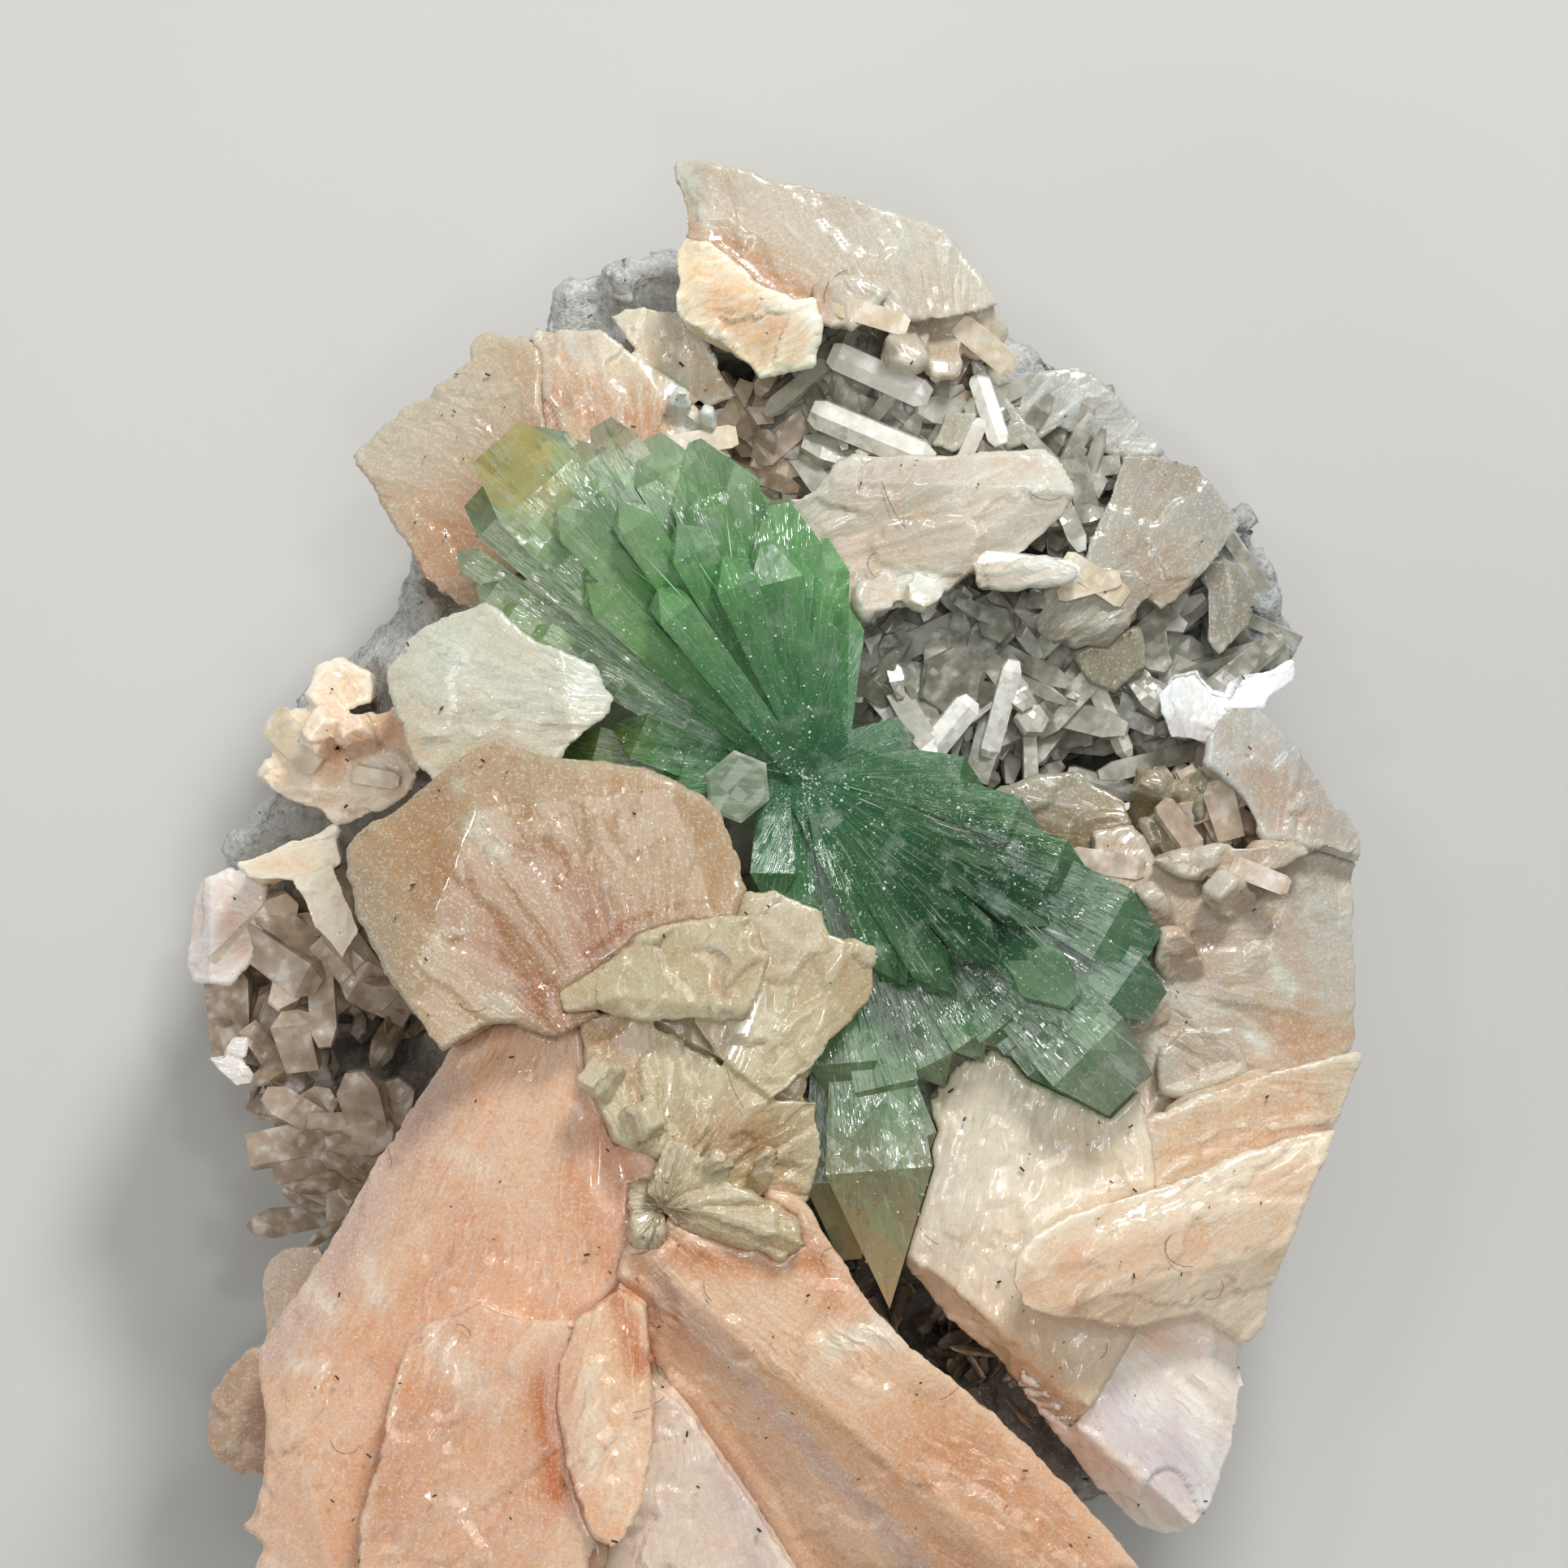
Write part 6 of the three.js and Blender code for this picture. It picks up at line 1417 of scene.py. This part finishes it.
# %% Table of the piles
PILES = {  # finish, how many, lengths, widths, seed, then strokes: from, to, spread and top or None
    "rods_right": (COLOURLESS, 300, (3.6, 9.0), (0.9, 2.2), 61, [
        (52, 39.5, 56, 43, 1.5, 27.5), (57, 39, 66, 41, 1.7, 26.5), (57, 43, 63, 44, 1.4, 27.0),
        (64, 43, 71, 43, 1.8, 25.5), (66, 38.5, 72, 37.5, 1.4, 25.0), (72, 42, 73, 45, 1.2, 24.0),
        (75, 36, 76.5, 40, 0.9, 21.0), (75.2, 41.2, 76.4, 42.4, 0.5, 23.0)]),
    "rods_upper": (COLOURLESS, 230, (3.4, 8.0), (0.9, 2.2), 67, [
        (49, 22.5, 57, 24, 1.3, 25.5), (50, 27, 56, 27.5, 1.4, 25.5), (58, 25, 63, 27.5, 1.4, 25.5),
        (62, 28, 67, 31.5, 1.4, 26.5), (66, 31, 68, 34, 1.0, 25.0)]),
    "lumps_upper": (ROSY, 90, (2.4, 5.0), (1.0, 2.4), 71, [
        (44.8, 24.4, 48, 27.4, 1.2, 24.5), (46, 28, 48.6, 30, 1.0, 25.0), (55, 21.6, 60, 22.6, 0.9, 24.6)]),
    "rods_left": (ROSY, 90, (3.4, 7.6), (1.8, 3.4), 73, [
        (15, 57.6, 18, 60, 1.2, 21.0), (14, 63, 17, 66, 1.2, 18.0), (17, 69, 20, 74, 1.2, 22.0),
        (20, 69, 23, 72, 1.2, 23.0), (19, 58, 22, 60, 1.2, 22.0)]),
    "rods_horn": (ROSY, 46, (2.4, 6.0), (1.2, 2.4), 79, [
        (74, 49.6, 79, 51.6, 1.0, 29.6), (72, 50, 74, 52, 0.9, 28.0)]),
    "rods_low": (ROSY, 60, (2.0, 4.0), (0.9, 1.8), 101, [(40.2, 83.2, 41.2, 86, 0.4, 42.0)]),
    "leaves_right": (ROSY, 11, (2.4, 5.0), (1.2, 2.4), 83, [
        (66, 52, 71, 58, 1.0, None), (71, 51, 78, 54, 0.9, None), (76.6, 55, 78, 62, 0.9, None),
        (70, 60, 73, 67, 0.8, None), (74, 65, 78, 66, 0.6, None)]),
    "leaves_upper": (CREAMY, 18, (2.4, 6.0), (1.2, 2.6), 97, [
        (50, 17, 62, 21.6, 0.9, None), (42, 24, 46, 28, 0.8, None), (52, 34, 59, 37.4, 0.7, None),
        (64, 33, 68, 37, 0.9, None), (17, 44, 22, 49, 0.8, None)]),
}
print("rods and leaves to set:", sum(count for _, count, *_ in PILES.values()))

# %% Piles
LEAF_SECTIONS = [(0, 0.75, 0.7), (0.08, 1, 1), (0.9, 0.95, 1), (1.0, 0.6, 0.6)]
ROD_SECTIONS = [(0, 0.85, 1), (0.84, 1, 1), (1.0, 0.45, 0.75)]
STEEP = 0.5  # leaves lie only where the crystal below looks up more than this
LEAF_FLATNESS = 0.35
ROD_FLATNESS = 0.75
BEHIND = 0.4  # the share of a rod that lies behind its middle
RIM_ROOM = 2.0  # how far inside the rock's outline a rod's tip stays, in millimetres

rock_surface = surface_of(rock.data)
solid_tops = others_than("apophyllite_bow_tie")


def ground_at(spot):
    """Height of the rock below a place in metres, in millimetres, or None outside the rock."""
    hit = rock_surface.ray_cast(Vector((spot[0], spot[1], ABOVE_ALL * MM)), DOWN)
    return hit[0].z / MM if hit[0] is not None else None


def top_at(spot):
    """Height in millimetres of the uppermost solid at a place in metres, and which way it faces."""
    hit, facing, _, _ = solid_tops.ray_cast(Vector((spot[0], spot[1], ABOVE_ALL * MM)), DOWN)
    return (hit.z / MM + OUTWARD, facing) if hit is not None else (None, None)


def pile_rows(count, lengths, widths, seed, strokes):
    """Rods heaped up from the rock to a stroke's top, or lying on the crystals where it has none."""
    pick = np.random.default_rng(seed)
    weights = np.array([max(math.dist(s[:2], s[2:4]), 1) * s[4] for s in strokes])
    rows = []
    for _ in range(count):
        x0, y0, x1, y1, spread, top = strokes[pick.choice(len(strokes), p=weights / weights.sum())]
        share = pick.random()
        spot = from_sheet(x0 + (x1 - x0) * share + pick.normal(0, spread),
                          y0 + (y1 - y0) * share + pick.normal(0, spread))
        ground = ground_at(spot)
        surface, facing = top_at(spot)
        if ground is None or surface is None or (top is None and facing.z < STEEP):
            continue
        turn = pick.uniform(0, 2 * math.pi)
        if top is None:
            flatness = LEAF_FLATNESS
            height = surface + pick.uniform(-0.25, 0.0)
            lean = pick.uniform(0.0, 0.16)
        else:
            flatness, facing = ROD_FLATNESS, UP
            height = ground + max(top - ground, 0) * pick.random() ** 0.6
            lean = pick.uniform(-0.1, 0.55)
        level = Vector((math.cos(turn), math.sin(turn), 0))
        level = (level - facing * level.dot(facing)).normalized()
        aim = level * math.cos(lean) + facing * math.sin(lean)
        length, width = pick.uniform(*lengths), pick.uniform(*widths)
        middle = Vector((spot.x, spot.y, height * MM))
        if ground_at(middle + aim * ((1 - BEHIND) * length + RIM_ROOM) * MM) is None:
            continue
        size = (width * MM, width * pick.uniform(0.55, 0.95) * flatness * MM, length * MM)
        roll = pick.uniform(-0.6, 0.6) * flatness
        rows.append((middle - aim * BEHIND * length * MM, turn_of(aim, roll, facing), size))
    return rows


for name, (finish, count, lengths, widths, seed, strokes) in PILES.items():
    rows = pile_rows(count, lengths, widths, seed, strokes)
    sections = LEAF_SECTIONS if strokes[0][-1] is None else ROD_SECTIONS
    rod = crystal_mesh(name + "_seed", sections, 0.6, 0.6, corners=4)
    mesh = aimed_mesh(name, rows, rod, finish)
    add_piece(name, mesh, finish, "cream_stilbite").data.shade_flat()

# %% [markdown]
# ## Single crystals
# A few small crystals stand out one by one: a clear six-sided plate on the green waist, three
# frosted ones beside it, and some glossy laths across the recesses, whose white is partly a painted
# highlight. They are too few to scatter, so each has its own row with its place, its lean and its
# size. The same tree sets them. The clear plate lets the green show through, and only its rim is
# white, as a painted highlight.

# %% Clear plate's finish
CLEAR_PLATE = (45.5, 48.5)
CLEAR_STRETCH = (0.5, 2.4, 1.0)
WINDOW = 1.95  # radius of the clear part inside the white rim, in millimetres


def clear_finish():
    """Clear with fine streaks and a white rim that is a painted highlight."""
    material, tree, shader = start_finish(
        "Clear plate", Transmission_Weight=0.6, IOR=1.535, Coat_Weight=0.3, Coat_Roughness=0.04,
    )
    place = millimetres(tree)
    streaks = noise_of(tree, vector_of(tree, "MULTIPLY", place, CLEAR_STRETCH), 1.0, 4.0, 0.7)
    colour = mixed(tree, stretch(tree, streaks, 0.5, 0.7), linear(168, 190, 160), linear(222, 232, 214))
    # painted highlight: a white rim around the clear window
    colour = mixed(tree, disc(tree, place, *CLEAR_PLATE, WINDOW, 0.2), PEARL_WHITE, colour)
    end_finish(tree, shader, colour, stretch(tree, streaks, 0.45, 0.65, 0.05, 0.35),
               flakes_of(tree, place, 1.4)[0])
    return material


CLEAR = clear_finish()
print("clear finish:", CLEAR.name)

# %% Plates and laths
PLATE_SECTIONS = [(0, 0.9, 1), (0.25, 1, 1), (0.75, 1, 1), (1, 0.9, 1)]
waist_top = top_of_body(45.6, 48.6)
PLATES = {  # finish, slot, then rows of a place, two leans, a width and a thickness
    "clear_plate": (CLEAR, "green_apophyllite", [(*CLEAR_PLATE, waist_top + 0.1, -0.12, 0.1, 4.6, 0.5)]),
    "hex_plates": (COLOURLESS, "cream_stilbite", [
        (58.6, 41.8, 27.6, 0.15, -0.2, 4.6, 1.0), (61.6, 38.4, 27.2, -0.3, 0.2, 2.6, 0.8),
        (63.6, 44.4, 26.6, 0.3, 0.3, 2.4, 0.7)]),
}
for name, (finish, slot, rows) in PLATES.items():
    spots = []
    for x, y, height, lean_x, lean_y, wide, thick in rows:
        turn = turn_of(Vector((lean_x, lean_y, 1)), 0.3)
        spots.append((from_sheet(x, y, height), turn, (wide * MM, wide * 0.92 * MM, thick * MM)))
    mesh = aimed_mesh(name, spots, crystal_mesh(name + "_seed", PLATE_SECTIONS, 0.5, 0.5), finish)
    add_piece(name, mesh, finish, slot).data.shade_flat()

LATHS = [  # from and to on the sheet with heights, then width and depth, in millimetres
    (51.2, 21.4, 26.4, 57.4, 24.2, 26.8, 1.9, 1.3), (50.0, 25.0, 26.2, 57.6, 28.2, 26.6, 2.0, 1.4),
    (60.2, 34.5, 30.6, 66.6, 35.3, 30.4, 1.7, 1.2), (58.8, 29.6, 26.8, 60.6, 25.6, 27.6, 1.0, 0.6),
    (60.4, 22.8, 25.6, 61.8, 27.2, 27.4, 1.4, 0.8), (67.6, 41.8, 25.4, 69.8, 46.6, 24.0, 1.2, 1.0),
    (61.0, 46.6, 26.4, 62.6, 40.6, 28.0, 1.3, 1.0), (56.6, 47.2, 28.0, 60.0, 43.0, 28.2, 1.8, 1.3),
    (66.0, 47.6, 23.4, 70.6, 49.0, 23.0, 1.2, 0.9), (72.6, 49.4, 25.4, 67.6, 50.4, 25.4, 1.0, 0.8),
]
rows = []
for x0, y0, z0, x1, y1, z1, width, depth in LATHS:
    first, last = from_sheet(x0, y0, z0), from_sheet(x1, y1, z1)
    rows.append((first, turn_of(last - first, 0.2), (width * MM, depth * MM, (last - first).length)))
single = crystal_mesh("single_lath", [(0, 0.7, 0.8), (0.08, 1, 1), (0.9, 1, 1), (1, 0.6, 0.7)], 0.55, 0.55)
mesh = aimed_mesh("laths", rows, single, SHINY)
add_piece("glossy_laths", mesh, SHINY, "cream_stilbite").data.shade_flat()

# %% [markdown]
# ## Lint and dark grains
# A few fine fibres and dark grains of dust lie on the crystals. A fibre could be a curve with a
# bevel, but it has to follow a surface that is only known by measuring it. So it is a chain of short,
# thin rods along an arc, and a grain is a tiny lump. Both are set on the measured surface, so none
# of them floats, and both are one mesh, because nobody would pick them off one by one.

# %% Lint finish
def lint_finish():
    """Dull dark brown, each fibre and grain with its own tone."""
    material, tree, shader = start_finish("Lint and dust", Roughness=0.8)
    colour = mixed(tree, stored(tree, "tone")["Fac"], linear(40, 30, 24), linear(104, 84, 66))
    tree.links.new(colour, shader.inputs["Base Color"])
    return material


LINT = lint_finish()
print("lint finish:", LINT.name)

# %% Lint and grains
FIBRES = 34
FIBRE_STEPS = 6
FIBRE_WIDTH = 0.05
LONGEST_STEP = 1.0  # a fibre breaks off where it would drop further than this, in millimetres
JOIN = 1.08  # each step runs a little into the next one
LOWEST_REST = 15.0  # nothing lies on the rock below this height
GRAINS = 420
FIBRE_FIELD = ((20, 80), (12, 94))  # where fibres and grains are looked for on the sheet
GRAIN_FIELD = ((12, 80), (10, 98))
pick = np.random.default_rng(53)


def resting_place(x, y):
    """A place just on top of the crystals at a place of the sheet, or None beside them."""
    spot = from_sheet(x, y)
    surface, _ = top_at(spot)
    if surface is None or surface <= LOWEST_REST:
        return None
    return Vector((spot.x, spot.y, (surface + FIBRE_WIDTH) * MM))


rows = []
for _ in range(FIBRES):
    x, y = pick.uniform(*FIBRE_FIELD[0]), pick.uniform(*FIBRE_FIELD[1])
    turn, bend = pick.uniform(0, 2 * math.pi), pick.uniform(-0.7, 0.7)
    step = pick.uniform(0.15, 0.55)
    places = []
    for _ in range(FIBRE_STEPS + 1):
        places.append(resting_place(x, y))
        x, y = x + step * math.cos(turn), y + step * math.sin(turn)
        turn += bend * pick.uniform(0.3, 1.2)
    for first, last in zip(places, places[1:]):
        if first is None or last is None or (last - first).length >= LONGEST_STEP * MM:
            continue
        size = (FIBRE_WIDTH * MM, FIBRE_WIDTH * MM, JOIN * (last - first).length)
        rows.append((first, turn_of(last - first), size))
for _ in range(GRAINS):
    place = resting_place(pick.uniform(*GRAIN_FIELD[0]), pick.uniform(*GRAIN_FIELD[1]))
    if place is not None:
        wide = pick.uniform(0.06, 0.24) * pick.uniform(0.5, 1) * MM
        aim = Vector((pick.uniform(-1, 1), pick.uniform(-1, 1), 0.3))
        rows.append((place, turn_of(aim), (wide, wide, wide * pick.uniform(1.0, 2.0))))
lint_step = crystal_mesh("lint_step", [(0, 0.9, 1), (1, 0.9, 1)], 0.5, 0.5, corners=4)
add_piece("lint_and_grains", aimed_mesh("lint", rows, lint_step, LINT), LINT, "peach_stilbite")

# %% [markdown]
# ## Floor, light and camera
# The piece lies on a plain pale floor. A small soft light stands low over the far side, so that every
# rib throws a shadow. A large one from the near left and one from above fill the shadows, as
# softboxes in a studio do. Three tiny lights near the camera are too weak to light anything, but each
# facet that is turned the right way mirrors one of them as a bright glint. The camera looks straight
# down through a long lens, which keeps the crystals near it from looking larger than they are.

# %% Floor
FLOOR_HALF = 1.5
corners = [(x * FLOOR_HALF, y * FLOOR_HALF, 0) for x, y in ((-1, -1), (1, -1), (1, 1), (-1, 1))]
floor_mesh = bpy.data.meshes.new("floor")
floor_mesh.from_pydata(corners, [], [(0, 1, 2, 3)])
floor = bpy.data.objects.new("floor", floor_mesh)
bpy.context.scene.collection.objects.link(floor)
floor_finish, tree, shader = start_finish("Pale floor", Roughness=0.9)
clouds = noise_of(tree, millimetres(tree), 0.02)
floor_tone = mixed(tree, clouds, linear(206, 205, 202), linear(214, 213, 210))
tree.links.new(floor_tone, shader.inputs["Base Color"])
floor_mesh.materials.append(floor_finish)
print("floor is", 2 * FLOOR_HALF, "m wide")

# %% Lights
def softbox(name, place, target, size, power):
    """A round soft light that faces a target."""
    lamp = bpy.data.lights.new(name, "AREA")
    lamp.shape = "DISK"
    lamp.size = size
    lamp.energy = power
    light = bpy.data.objects.new(name, lamp)
    light.location = place
    light.rotation_euler = (Vector(target) - Vector(place)).to_track_quat("-Z", "Y").to_euler()
    bpy.context.scene.collection.objects.link(light)
    print(f"{name}: {power} W, {size} m wide")


TARGET = (0, 0, 0.03)
SPARK_LIGHTS = (((0.12, 0.22, 0.85), 0.4), ((-0.2, 0.14, 0.85), 0.3), ((0.06, -0.12, 0.9), 0.25))
SPARK_WIDTH = 0.05
softbox("key_light", (0.13, 0.38, 0.38), TARGET, 0.12, 1.9)
softbox("fill_light", (-0.45, -0.25, 0.4), TARGET, 0.5, 0.7)
softbox("top_light", (0.08, 0.1, 1.1), TARGET, 0.5, 1.6)
for number, (place, power) in enumerate(SPARK_LIGHTS, start=1):
    softbox(f"spark_light_{number}", place, TARGET, SPARK_WIDTH, power)
world = bpy.data.worlds.new("Studio")
bpy.context.scene.world = world
world.use_nodes = True
room = world.node_tree.nodes["Background"].inputs
room["Color"].default_value = (1.0, 0.98, 0.94, 1.0)
room["Strength"].default_value = 0.25
bpy.context.scene.view_settings.view_transform = "Standard"  # keeps the colours as they were mixed

# %% Camera
FRAME_WIDTH = 96.6  # of the photographed field, in millimetres
FRAME_MIDDLE = (48.3, 48.3)
SHARP_HEIGHT = 35.0  # the height at which the field has that width
LENS = 280.0
SENSOR = 36.0

camera_data = bpy.data.cameras.new("camera")
camera_data.lens = LENS
camera_data.sensor_width = SENSOR
camera_data.clip_start = 0.05
camera_data.clip_end = 10
camera = bpy.data.objects.new("camera", camera_data)
camera.location = from_sheet(*FRAME_MIDDLE, SHARP_HEIGHT + FRAME_WIDTH * LENS / SENSOR)
bpy.context.scene.collection.objects.link(camera)
bpy.context.scene.camera = camera
print("camera height:", round(camera.location.z, 3), "m")
